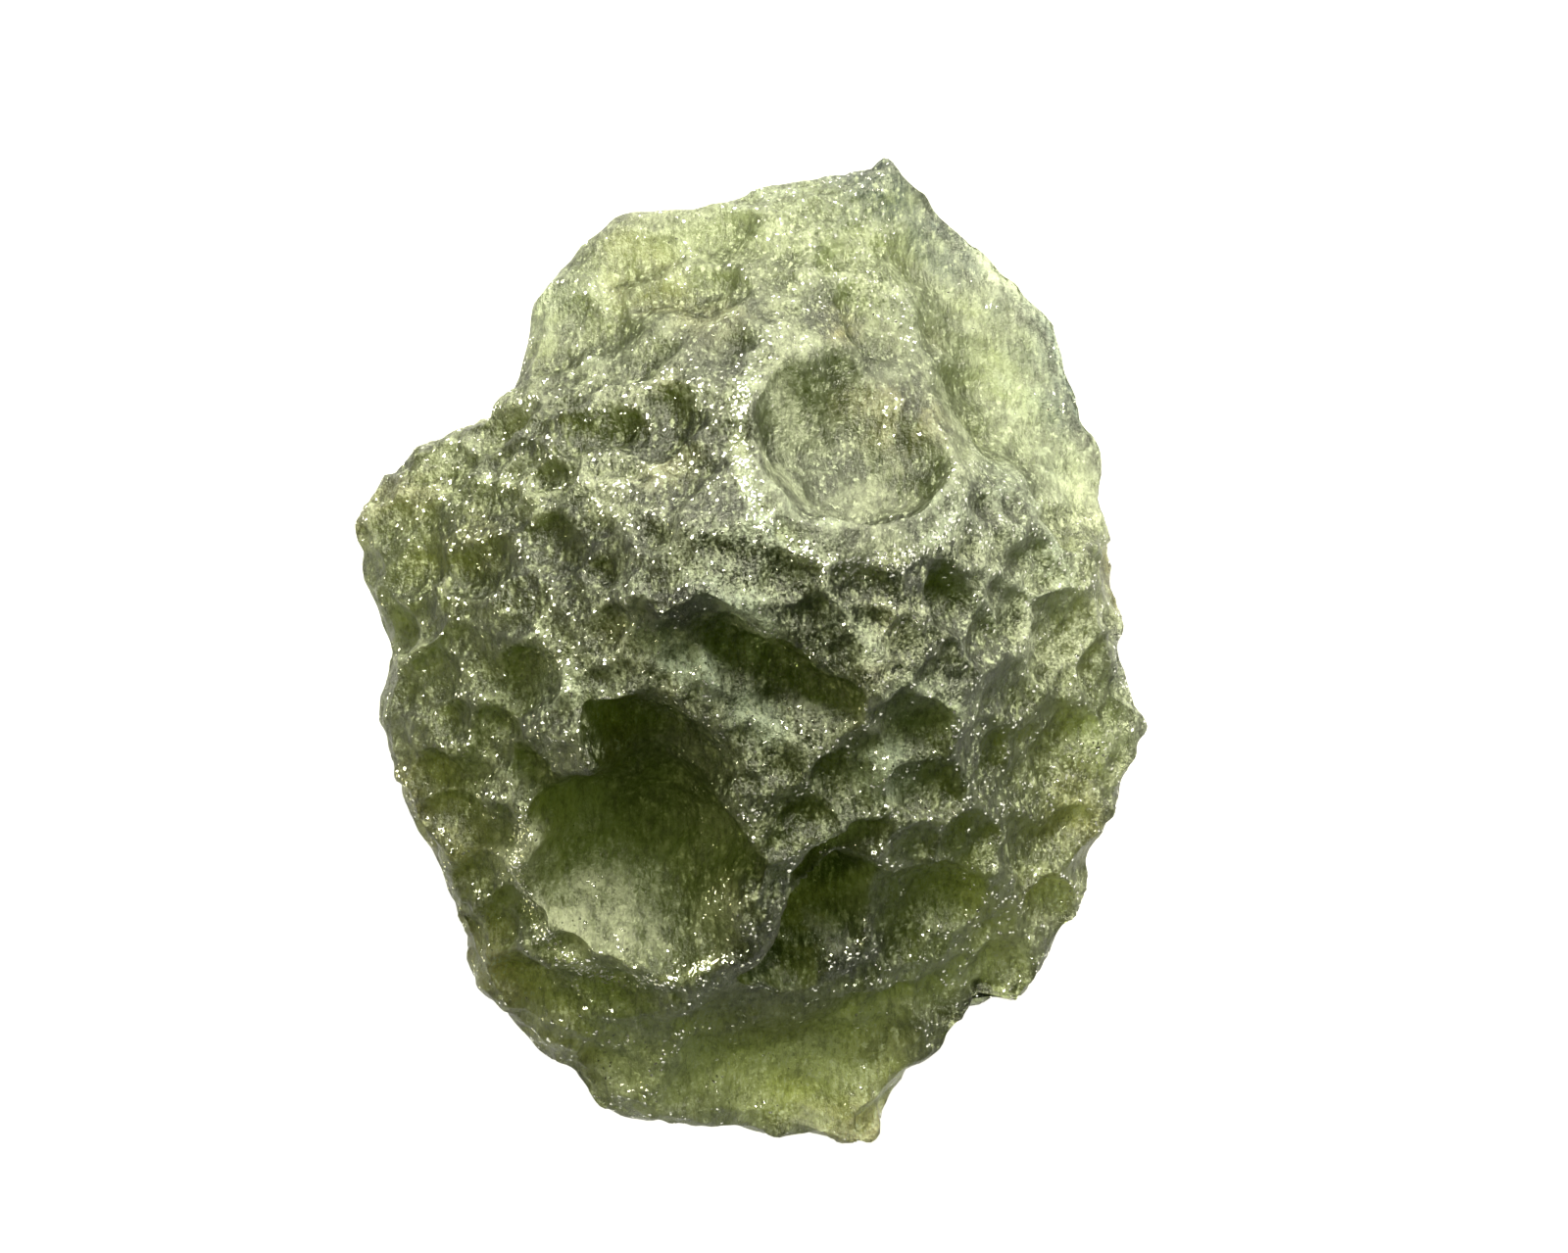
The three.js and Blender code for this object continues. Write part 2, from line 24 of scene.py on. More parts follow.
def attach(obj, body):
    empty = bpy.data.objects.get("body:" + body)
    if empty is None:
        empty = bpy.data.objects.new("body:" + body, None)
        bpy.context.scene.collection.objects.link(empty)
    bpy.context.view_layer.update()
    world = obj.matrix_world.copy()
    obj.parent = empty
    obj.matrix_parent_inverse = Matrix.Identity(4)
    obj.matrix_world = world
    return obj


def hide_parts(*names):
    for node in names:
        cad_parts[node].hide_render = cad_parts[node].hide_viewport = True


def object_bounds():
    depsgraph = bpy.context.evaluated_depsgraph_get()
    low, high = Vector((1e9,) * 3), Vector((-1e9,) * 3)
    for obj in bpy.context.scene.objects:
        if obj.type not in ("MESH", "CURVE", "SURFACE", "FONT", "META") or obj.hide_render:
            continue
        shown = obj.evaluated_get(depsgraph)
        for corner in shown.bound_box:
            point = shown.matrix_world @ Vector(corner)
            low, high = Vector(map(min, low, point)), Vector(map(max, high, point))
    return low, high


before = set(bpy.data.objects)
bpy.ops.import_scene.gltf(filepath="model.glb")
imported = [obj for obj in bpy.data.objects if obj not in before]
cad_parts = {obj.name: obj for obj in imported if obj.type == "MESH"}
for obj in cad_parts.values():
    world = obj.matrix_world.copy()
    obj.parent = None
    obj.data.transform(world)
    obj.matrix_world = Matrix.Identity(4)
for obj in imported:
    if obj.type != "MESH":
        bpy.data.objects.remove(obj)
CAD_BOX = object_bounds()

LOG = logging.getLogger("moldavite")
MM = 0.001

Array = np.ndarray
Row = tuple[float, ...]
Rows = tuple[Row, ...]
Colour = tuple[float, float, float, float]
Socket = bpy.types.NodeSocket


def smooth_ramp(value: Array, low: float, high: float) -> Array:
    """Returns a soft step from 0 at low to 1 at high."""
    share = np.clip((value - low) / (high - low), 0.0, 1.0)
    return share * share * (3.0 - 2.0 * share)


def scatter(seed: float, step: Array, scale: float) -> Array:
    """Returns numbers from 0 to 1 that look strewn but are the same on every run."""
    value = np.sin(seed + step) * scale
    return value - np.floor(value)


def way_out(points: Array, x: float, y: float, half_length: float, half_width: float,
            degrees: float) -> Array:
    """Returns how far out each point lies over a turned ellipse, 1 being on its rim.

    Args:
        points: The points.
        x: The middle of the ellipse.
        y: The middle of the ellipse.
        half_length: Half its length.
        half_width: Half its width.
        degrees: Its turn.

    Returns:
        The distances.
    """
    turn = math.radians(degrees)
    away = points[:, :2] - (x, y)
    along = away @ (math.cos(turn), math.sin(turn)) / half_length
    across = away @ (-math.sin(turn), math.cos(turn)) / half_width
    return np.hypot(along, across)


def unit(vectors: Array) -> Array:
    """Returns the vectors at length one."""
    return vectors / np.maximum(np.linalg.norm(vectors, axis=-1, keepdims=True), 1e-12)


class Hollow(Enum):
    """Scoops placed on the upper side, in groups.

    A row is x, y, half length, half width, turn in degrees and depth.  Where they differ from
    an upright bowl, it goes on with how far the axis leans to x and to y, and how flat the
    floor is.
    """

    CUPS = (
        (2.5, 5.1, 3.3, 2.8, 80, 2.4, 0.05, 0.35),
        (-2.6, -4.8, 2.9, 2.8, 80, 2.8, 0, -0.1),
        (-2.3, -2.5, 2.1, 1.8, 100, 1.8, 0, -0.35),
    )
    DARK_HOLLOW = (
        (1.6, -6.45, 2.3, 1.25, 46, 2.0, 0.1, -0.2),
        (4.2, -5.8, 1.9, 1.5, 20, 0.9, 0.1, -0.2),
    )
    SHOULDER = (
        (6.8, 7.7, 6.3, 2.7, -58, 1.2, -0.35, -0.25, 1.8),
        (6.6, 5.9, 3.2, 1.5, -58, 0.9, -0.2, -0.1, 2.2),
        (3.0, 9.8, 2.2, 1.4, -50, 0.4),
        (1.9, 9.3, 0.8, 0.6, 60, 0.3, 0, 0.5),
    )
    PEAK = (
        (-1.5, 0.1, 1.7, 0.75, 57, 0.9, 0, -0.2), (-0.3, -0.1, 2.0, 0.85, -45, 1.1, 0.05, -0.3),
        (1.0, -0.7, 1.2, 0.9, -35, 0.7),
        (1.0, -0.1, 0.3, 0.3, 0, 0.25), (0.7, 1.4, 0.9, 0.7, 0, 0.5), (-0.2, 1.4, 0.6, 0.5, 0, 0.3),
    )
    LOWER_END = (
        (1.9, -4.9, 1.3, 0.6, 40, 1.2),
        (1.0, -3.8, 0.8, 0.7, 0, 0.6), (3.1, -8.7, 1.4, 0.5, 35, 0.8), (1.5, -9.9, 2.6, 1.4, 8, 1.1),
        (-0.7, -10.1, 1.5, 0.7, 10, 0.6), (-3.0, -8.2, 1.1, 0.8, 0, 0.7),
        (-0.8, -8.7, 1.4, 0.8, 0, 0.6), (-5.3, -7.9, 1.3, 0.8, -20, 0.7),
        (-4.2, -7.0, 0.7, 0.4, -30, 0.4), (-3.3, -9.7, 1.1, 0.8, -20, 0.6),
        (0.7, -11.4, 1.6, 0.5, 0, 0.4), (2.8, -11.1, 1.0, 0.7, 0, 0.4),
    )
    RIGHT_SIDE = (
        (7.3, 0.1, 1.2, 1.1, 0, 0.7), (5.8, -2.4, 0.9, 0.8, 0, 0.7), (3.6, -1.8, 1.2, 1.0, -10, 0.8),
        (5.3, 0.2, 0.9, 0.7, 0, 0.6), (4.5, 1.3, 0.8, 0.7, 0, 0.7), (2.6, 0.5, 0.6, 0.5, 0, 0.5),
        (2.5, 1.4, 0.7, 0.6, 0, 0.5), (6.9, -4.7, 1.1, 1.0, 0, 0.6), (7.3, -2.4, 1.0, 1.2, 0, 0.6),
        (8.4, -0.9, 0.8, 1.2, 0, 0.4), (6.0, -7.9, 1.0, 0.9, 30, 0.7), (4.8, -8.1, 1.2, 0.8, 30, 0.6),
        (7.1, -6.3, 1.0, 0.7, 40, 0.5), (7.9, -3.0, 0.7, 1.0, 0, 0.4), (6.7, 2.0, 0.9, 0.7, 0, 0.5),
        (4.4, -0.7, 0.7, 0.7, 0, 0.4), (2.3, -3.1, 1.0, 0.9, 0, 0.6), (4.1, -3.2, 0.9, 0.8, 20, 0.6),
        (5.1, -4.9, 1.2, 1.1, 0, 0.7), (6.3, -0.9, 0.7, 0.7, 0, 0.4), (5.3, 3.7, 0.6, 0.7, 0, 0.5),
    )
    LEFT_SIDE = (
        (-8.0, 2.1, 0.9, 0.8, 20, 0.6), (-6.3, 1.9, 0.9, 0.8, 0, 0.7), (-4.6, 2.3, 1.1, 0.9, 0, 0.7),
        (-2.3, 2.7, 0.6, 0.5, 0, 0.4), (-5.5, -0.6, 1.3, 0.9, 8, 0.9), (-7.3, -0.7, 0.9, 0.7, 0, 0.5),
        (-8.3, -0.9, 0.7, 0.9, 0, 0.4), (-7.0, -1.5, 0.7, 0.5, 0, 0.5), (-5.8, -2.0, 0.7, 0.5, 0, 0.5),
        (-7.0, -2.9, 1.2, 0.7, 15, 0.8), (-6.7, -4.1, 1.6, 0.8, 6, 0.9), (-5.8, -6.4, 0.8, 0.9, 0, 0.8),
        (-6.3, -5.3, 1.1, 0.7, -20, 0.5), (-8.1, 0.7, 1.0, 0.8, 0, 0.5), (-5.5, 0.5, 0.7, 0.5, 0, 0.3),
        (-3.5, 0.5, 0.7, 0.6, 0, 0.5), (-3.4, 1.8, 0.7, 0.6, 0, 0.5), (-4.9, -3.0, 0.8, 0.6, 0, 0.5),
    )
    PLATE = (
        (-3.8, 5.1, 1.0, 0.6, 5, 0.6), (-2.0, 5.1, 1.1, 0.7, 5, 0.6), (-0.5, 5.1, 0.5, 0.4, 0, 0.4),
        (-0.9, 5.9, 0.6, 0.5, 0, 0.4), (-5.9, 5.4, 0.9, 0.6, 10, 0.5), (-7.6, 4.3, 1.0, 0.8, 30, 0.5),
        (-5.3, 4.2, 0.6, 0.5, 0, 0.3), (-1.6, 3.7, 1.0, 0.6, 15, 0.4), (-3.5, 7.7, 1.3, 0.9, 10, 0.5),
        (-1.6, 8.4, 1.2, 0.9, 0, 0.5), (-4.5, 6.9, 1.1, 0.6, 10, 0.4), (-2.8, 9.4, 1.4, 0.8, 15, 0.5),
        (-0.6, 9.7, 1.2, 0.8, 0, 0.5), (-2.6, 6.7, 0.9, 0.6, 10, 0.4), (-0.8, 7.2, 0.7, 0.6, 0, 0.4),
    )


class Calm(Enum):
    """Smoother patches of the upper side, where the fine etching is shallow.

    A row is x, y, half length, half width, turn in degrees and the share of depth that is kept.
    """

    CUPS = ((2.5, 5.1, 3.3, 2.9, 80, 0.2), (-2.6, -4.7, 3.3, 3.1, 80, 0.4))
    SHOULDER = ((6.8, 7.7, 6.0, 2.6, -58, 0.15), (6.6, 5.9, 3.2, 1.6, -58, 0.15))
    PLATE = ((-2.4, 8.6, 3.9, 2.4, 15, 0.4),)
    DARK_HOLLOW = ((1.6, -6.4, 2.1, 1.1, 46, 0.5),)
    LOWER_SHELF = ((1.6, -9.8, 4.4, 1.8, 10, 0.45),)


class Tint(Enum):
    """Patches of the upper side: some in the stone's own colours, the others painted shade, light and
    sheen.

    A row is x, y, half length, half width, turn in degrees and strength.
    """

    BROWN = (
        (-6.7, 2.3, 1.4, 0.8, 20, 0.8), (-7.6, -3.2, 0.9, 1.2, 0, 0.7), (-6.6, -4.4, 1.5, 0.7, 10, 0.7),
        (-4.6, -9.2, 1.2, 0.9, -30, 0.6), (-0.5, -8.6, 2.0, 0.7, 0, 0.7), (7.6, -4.2, 0.9, 1.2, 0, 0.6),
        (2.0, 7.6, 0.7, 0.5, -40, 0.8),
    )
    # Painted shade: bluish grey darkening on the thin plate and the shoulder.
    BLUE = (
        (3.0, 11.2, 1.6, 1.1, -30, 1.0), (2.2, 10.6, 1.0, 0.6, 20, 0.7), (4.4, 9.8, 1.6, 0.9, -50, 0.9),
        (6.6, 7.6, 1.6, 0.8, -45, 0.7), (7.6, 5.8, 0.9, 1.1, 0, 0.8), (4.2, 7.6, 1.6, 1.1, -40, 0.5),
        (-4.3, 8.4, 0.6, 1.2, -10, 0.4), (-0.8, 7.0, 1.4, 0.7, 10, 0.5), (3.2, 7.0, 1.0, 0.6, -30, 0.5),
        (8.5, -0.2, 0.5, 1.2, 0, 0.6), (2.4, 6.6, 1.2, 0.6, 0, 0.5), (5.4, 3.4, 1.2, 0.6, 40, 0.4),
    )
    # Painted sheen: grey-green patches where the light glances off the ridges.
    TEAL = (
        (-1.5, -0.2, 1.5, 0.55, -40, 0.9), (0.1, -1.5, 0.9, 0.6, -45, 0.8), (3.1, -2.7, 1.0, 0.9, 0, 0.8),
        (-0.3, 0.9, 1.2, 0.5, -30, 0.6), (2.2, 0.3, 1.1, 0.6, -30, 0.5), (4.0, -1.2, 1.3, 0.8, 0, 0.6),
        (-4.2, -0.8, 1.4, 0.6, 10, 0.4), (2.0, -4.0, 0.6, 0.4, 30, 0.6),
    )
    OLIVE = (
        (-4.3, 5.0, 1.3, 0.6, 5, 0.9), (-1.9, 5.0, 1.2, 0.6, 5, 0.9), (-7.3, 1.3, 1.4, 0.9, 0, 0.7),
        (-4.0, 2.2, 1.2, 0.8, 0, 0.6), (4.6, -3.2, 2.4, 1.6, 30, 0.6), (1.2, -10.4, 2.8, 1.2, 15, 0.9),
        (1.4, 0.0, 1.4, 1.0, -30, 0.4), (3.6, 1.7, 0.8, 0.7, 0, 0.6), (7.0, -5.3, 1.3, 1.0, 30, 0.6),
        (-6.2, -5.6, 1.2, 0.9, 0, 0.8), (0.5, -8.4, 7.5, 3.2, 0, 0.8), (-6.2, -2.6, 2.2, 3.2, 0, 0.5),
        (5.4, -3.0, 3.0, 3.6, 0, 0.55), (-6.0, 2.0, 2.8, 1.6, 0, 0.5), (0.0, -4.6, 5.0, 2.2, 0, 0.5),
    )
    # Painted shade: the darkest places, in the shaded hollows and under the ridges.
    DEEP = (
        (1.3, -7.1, 2.9, 1.6, 20, 1.0), (2.0, -4.9, 1.4, 0.5, 38, 1.0), (-2.3, -3.0, 1.9, 2.0, 0, 0.75),
        (0.2, -0.9, 1.5, 1.1, -35, 0.25), (-1.7, 0.9, 1.0, 0.5, 25, 0.9), (1.6, 8.0, 0.5, 0.7, 0, 0.6),
        (3.6, 5.5, 0.25, 1.0, -14, 0.6), (3.6, -9.2, 1.5, 0.45, 35, 0.7), (-0.6, -3.4, 1.0, 1.0, 0, 0.5),
        (-5.0, 1.9, 2.0, 0.9, 0, 0.25), (-1.6, 5.1, 2.0, 0.8, 0, 0.35), (-1.0, 6.6, 1.0, 0.6, 0, 0.2),
        (-1.0, -8.0, 1.6, 0.7, 0, 0.4), (-1.4, 3.4, 1.6, 0.7, 0, 0.2),
    )
    # Painted light: pale patches on slopes and rims that the light falls on.
    PALE = (
        (7.2, 0.4, 1.3, 1.2, 0, 0.8), (7.5, 3.4, 1.0, 0.9, 0, 0.6), (5.8, 1.7, 1.0, 0.9, 0, 0.5),
        (-3.6, -6.1, 2.2, 1.1, -20, 0.9), (0.7, 5.2, 0.5, 1.2, 0, 0.5), (1.2, 3.6, 1.0, 0.5, -30, 0.4),
        (2.6, 3.4, 1.2, 0.4, 0, 0.4), (-5.3, -4.8, 0.8, 1.2, 0, 0.8), (6.2, 5.0, 0.8, 1.2, 30, 0.3),
        (-1.0, -6.3, 1.1, 0.7, 25, 0.6), (-2.6, -9.6, 1.2, 0.8, 0, 0.5), (-5.6, -2.6, 0.9, 1.2, 0, 0.4),
    )
    GLOSS = ((1.86, 9.36, 0.55, 0.4, 60, 1.0),)


@dataclass(frozen=True)
class Strewing:
    """How one size of scallop is strewn over the whole stone, in millimetres."""

    count: int
    small: float
    large: float
    depth_share: float
    seed: float


class Scallop(Enum):
    """The sizes of scallop that etching left all over the skin."""

    CELLS = Strewing(count=560, small=0.7, large=1.9, depth_share=0.19, seed=3.0)
    PITS = Strewing(count=5000, small=0.16, large=0.45, depth_share=0.2, seed=5.0)


@dataclass(frozen=True)
class Scoop:
    """A bowl to be carved: its place, its axis and the two directions across it."""

    at: Array
    up: Array
    along: Array
    across: Array
    half_length: float
    half_width: float
    depth: float
    flatness: float = 1.0
    ripple: float = 0.0

    @classmethod
    def turned(cls, at: Array, axis: Array, turn: float, half_length: float, half_width: float,
               depth: float, flatness: float = 1.0, ripple: float = 0.0) -> "Scoop":
        """Sets a bowl square to an axis and turns it about it.

        Args:
            at: The point that the bowl is measured from.
            axis: The direction that it opens in.
            turn: Its turn about the axis, in radians.
            half_length: Half its length.
            half_width: Half its width.
            depth: Its depth under the point.
            flatness: 1 for a bowl, more for a flat floor.
            ripple: The height of the rings in its floor.

        Returns:
            The scoop.
        """
        up = unit(np.asarray(axis, float))
        east = np.array((1.0, 0.0, 0.0) if abs(up[0]) < 0.9 else (0.0, 1.0, 0.0))
        first = unit(east - up * east.dot(up))
        second = np.cross(up, first)
        along = first * math.cos(turn) + second * math.sin(turn)
        across = second * math.cos(turn) - first * math.sin(turn)
        return cls(np.asarray(at, float), up, along, across, half_length, half_width, depth,
                   flatness, ripple)


@dataclass(frozen=True)
class Blank:
    """The uncarved lump: a soft-edged cushion with the stone's outline from above."""

    height: float = 12.0
    heart: tuple[float, float] = (-0.1, -0.9)
    edge_power: float = 2.4
    under_power: float = 1.9
    outline_growth: float = 0.18
    ripple_fade: float = 0.55
    arc_steps: int = 6
    upper_reach: float = 1.25
    under_reach: float = 2.6
    bed_drop: float = 0.9
    steepest_lean: float = 1.2
    outline: Rows = (
        (3.2, 11.9, -0.14), (4.3, 10.7, 0), (5.9, 9.2, -0.07), (7.4, 7.7, 0.15),
        (8.4, 5.1, -0.07), (8.3, 3.2, -0.05), (9.0, 1.4, 0.05), (8.8, 0.2, 0.02),
        (9.3, -2.0, 0.02), (8.5, -4.0, 0.12), (8.0, -5.8, 0), (7.2, -7.0, -0.02),
        (5.8, -9.2, 0.16), (4.1, -9.9, 0), (3.6, -11.3, -0.12), (2.7, -12.0, 0.05),
        (1.6, -11.7, 0.02), (0.7, -11.8, -0.02), (-0.7, -11.5, 0.07), (-2.0, -11.6, 0.07),
        (-3.4, -10.9, -0.09), (-4.1, -10.0, 0.02), (-5.2, -9.4, 0.14), (-6.0, -8.5, -0.07),
        (-6.8, -7.2, -0.05), (-7.2, -5.8, 0.09), (-8.1, -4.4, -0.05), (-8.5, -2.5, 0.05),
        (-8.7, -1.6, -0.05), (-8.6, 0.0, 0.07), (-9.1, 1.5, 0), (-9.3, 3.0, -0.05),
        (-8.0, 4.9, 0.07), (-6.7, 5.4, 0), (-6.1, 6.0, 0), (-5.6, 6.3, -0.07),
        (-5.1, 8.5, -0.05), (-3.4, 10.2, -0.07), (-1.6, 10.6, 0.05),
    )
    waist: Rows = (
        (-175, 5.6), (-130, 5.2), (-90, 4.2), (-55, 3.8), (-10, 3.9),
        (30, 3.8), (85, 3.0), (110, 3.8), (128, 4.8), (155, 5.4),
    )
    upper_ground: Rows = (
        (-1.3, 1.5, 12.0), (0.0, 2.7, 11.4), (1.9, 2.2, 11.2), (3.7, 2.5, 10.4),
        (0.0, 5.1, 10.2), (0.0, 7.3, 8.6), (5.1, 4.9, 9.6), (6.7, 2.9, 8.0),
        (-3.0, 6.2, 8.6), (-3.9, 4.0, 9.8), (-6.7, 3.6, 8.2), (-8.6, 2.8, 6.8),
        (-4.9, 0.9, 10.4), (-7.0, 0.5, 9.2), (-7.4, -1.8, 8.6), (-3.9, -0.9, 10.6),
        (-6.7, -3.2, 8.9),
        (-5.2, -4.4, 9.4), (-4.8, -6.6, 9.0), (-2.3, -7.8, 8.6), (0.7, -3.0, 9.2),
        (0.0, -1.8, 9.9), (0.3, -5.6, 9.1),
        (3.0, -0.2, 10.6), (5.3, 2.8, 9.6), (5.3, -0.7, 9.4), (6.3, 2.1, 9.0),
        (7.7, 1.4, 7.0), (7.4, -0.9, 6.8), (4.4, -4.2, 8.6), (7.1, -3.7, 5.9),
        (8.4, -1.8, 5.0),
        (-6.5, -7.0, 7.4), (-3.9, -8.9, 7.0), (-1.9, -10.4, 5.6), (2.6, -7.0, 6.8),
        (1.2, -9.7, 5.6), (5.3, -7.4, 5.8), (6.5, -7.9, 4.8), (3.0, -10.9, 4.8),
        (-4.2, 8.4, 5.8), (-1.6, 9.3, 6.0), (1.2, 9.1, 6.4), (3.0, 10.9, 4.6),
        (4.9, 8.6, 5.4), (6.7, 6.5, 5.0), (7.4, 4.7, 4.6),
    )
    under_ground: Rows = (
        (0, -2, 0), (-4, 2, 0.1), (-5, -5, 0.4), (3, -7, 0.3), (5, -2, 0.3), (2, 2, -0.2),
        (0, -5, -0.3), (0, 6, 0.8), (5, 6, 0.9), (3, 10.5, 1.6), (-3, 8.5, 1.5),
        (-8, 3, 1.6), (-7, -4, 1.4), (1, -10.5, 1.9), (7, -1.5, 1.3),
    )

    @cached_property
    def outline_by_direction(self) -> tuple[Array, Array]:
        """The outline as directions from the heart and the distance in each of them.

        Returns:
            The directions in radians, in rising order, and the distances.
        """
        corners = np.array(self.outline)
        following = np.roll(corners, -1, axis=0)
        steps = following[:, :2] - corners[:, :2]
        outward = np.stack((steps[:, 1], -steps[:, 0]), axis=1)
        outward /= np.linalg.norm(steps, axis=1, keepdims=True)
        share = (np.arange(self.arc_steps) / self.arc_steps)[None, :, None]
        bow = corners[:, None, 2:3] * 4.0 * share * (1.0 - share)
        points = corners[:, None, :2] + steps[:, None, :] * share + outward[:, None, :] * bow
        points = points.reshape(-1, 2) - np.array(self.heart)
        turn = np.arctan2(points[:, 1], points[:, 0])
        order = np.argsort(turn)
        return turn[order], np.hypot(points[:, 0], points[:, 1])[order] + self.outline_growth

    def outline_radius(self, turn: Array) -> Array:
        """Returns the distance from the heart to the outline in each direction."""
        directions, distances = self.outline_by_direction
        return np.interp(turn, directions, distances, period=2.0 * math.pi)

    def waist_height(self, turn: Array) -> Array:
        """Returns the height of the widest line in each direction."""
        rows = np.array(self.waist)
        return np.interp(turn, np.radians(rows[:, 0]), rows[:, 1], period=2.0 * math.pi)

    def edge_radius(self, turn: Array, share: Array) -> Array:
        """Returns the distance to the edge: rounded further in, exact at the edge itself.

        Args:
            turn: The directions from the heart, in radians.
            share: How far out each point lies, 1 being on the edge.

        Returns:
            The distances.
        """
        swings = np.radians((-15, -10, -5, 0, 5, 10, 15))
        soft = sum(self.outline_radius(turn + swing) for swing in swings) / len(swings)
        return soft + (self.outline_radius(turn) - soft) * smooth_ramp(share, self.ripple_fade, 1.0)

    @staticmethod
    def ground(rows: Rows, reach: float, x: Array, y: Array) -> Array:
        """Returns the height at x, y as a blend of the points in rows, felt within reach.

        Args:
            rows: Places of the plan, each with its height.
            reach: How far each of them is felt.
            x: Where the height is wanted.
            y: Where the height is wanted.

        Returns:
            The heights.
        """
        total = np.zeros_like(x)
        weights = np.full_like(x, 1e-12)
        for place_x, place_y, height in rows:
            weight = np.exp(-((x - place_x) ** 2 + (y - place_y) ** 2) / (2.0 * reach * reach))
            total += weight * height
            weights += weight
        return total / weights

    def upper_height(self, x: Array, y: Array) -> Array:
        """Returns the height of the ground on the upper side, before the edge rounds it off."""
        return self.ground(self.upper_ground, self.upper_reach, x, y)

    def lower_height(self, x: Array, y: Array) -> Array:
        """Returns the height of the ground on the underside."""
        return self.ground(self.under_ground, self.under_reach, x, y) - self.bed_drop

    def surface_points(self, directions: Array) -> Array:
        """Returns the blank's point for each direction of the unit sphere.

        Args:
            directions: Vectors of length one.

        Returns:
            The points.
        """
        across = np.hypot(directions[:, 0], directions[:, 1])
        upward = np.abs(directions[:, 2])
        power = np.where(directions[:, 2] >= 0, self.edge_power, self.under_power)
        size = (across ** power + upward ** power) ** (-1.0 / power)
        turn = np.arctan2(directions[:, 1], directions[:, 0])
        radius = self.edge_radius(turn, size * across) * size * across
        x = self.heart[0] + radius * np.cos(turn)
        y = self.heart[1] + radius * np.sin(turn)
        waist = self.waist_height(turn)
        ground = np.where(directions[:, 2] >= 0, self.upper_height(x, y), self.lower_height(x, y))
        return np.stack((x, y, waist + (ground - waist) * size * upward), axis=1)

    def upper_surface(self, x: Array, y: Array) -> Array:
        """Returns the height of the blank's upper side over a point of the plan.

        Args:
            x: The places.
            y: The places.

        Returns:
            The heights.
        """
        turn = np.arctan2(y - self.heart[1], x - self.heart[0])
        distance = np.hypot(x - self.heart[0], y - self.heart[1])
        rough = np.minimum(1.0, distance / self.outline_radius(turn))
        share = np.minimum(1.0, distance / self.edge_radius(turn, rough))
        rise = (1.0 - share ** self.edge_power) ** (1.0 / self.edge_power)
        waist = self.waist_height(turn)
        return waist + (self.upper_height(x, y) - waist) * rise


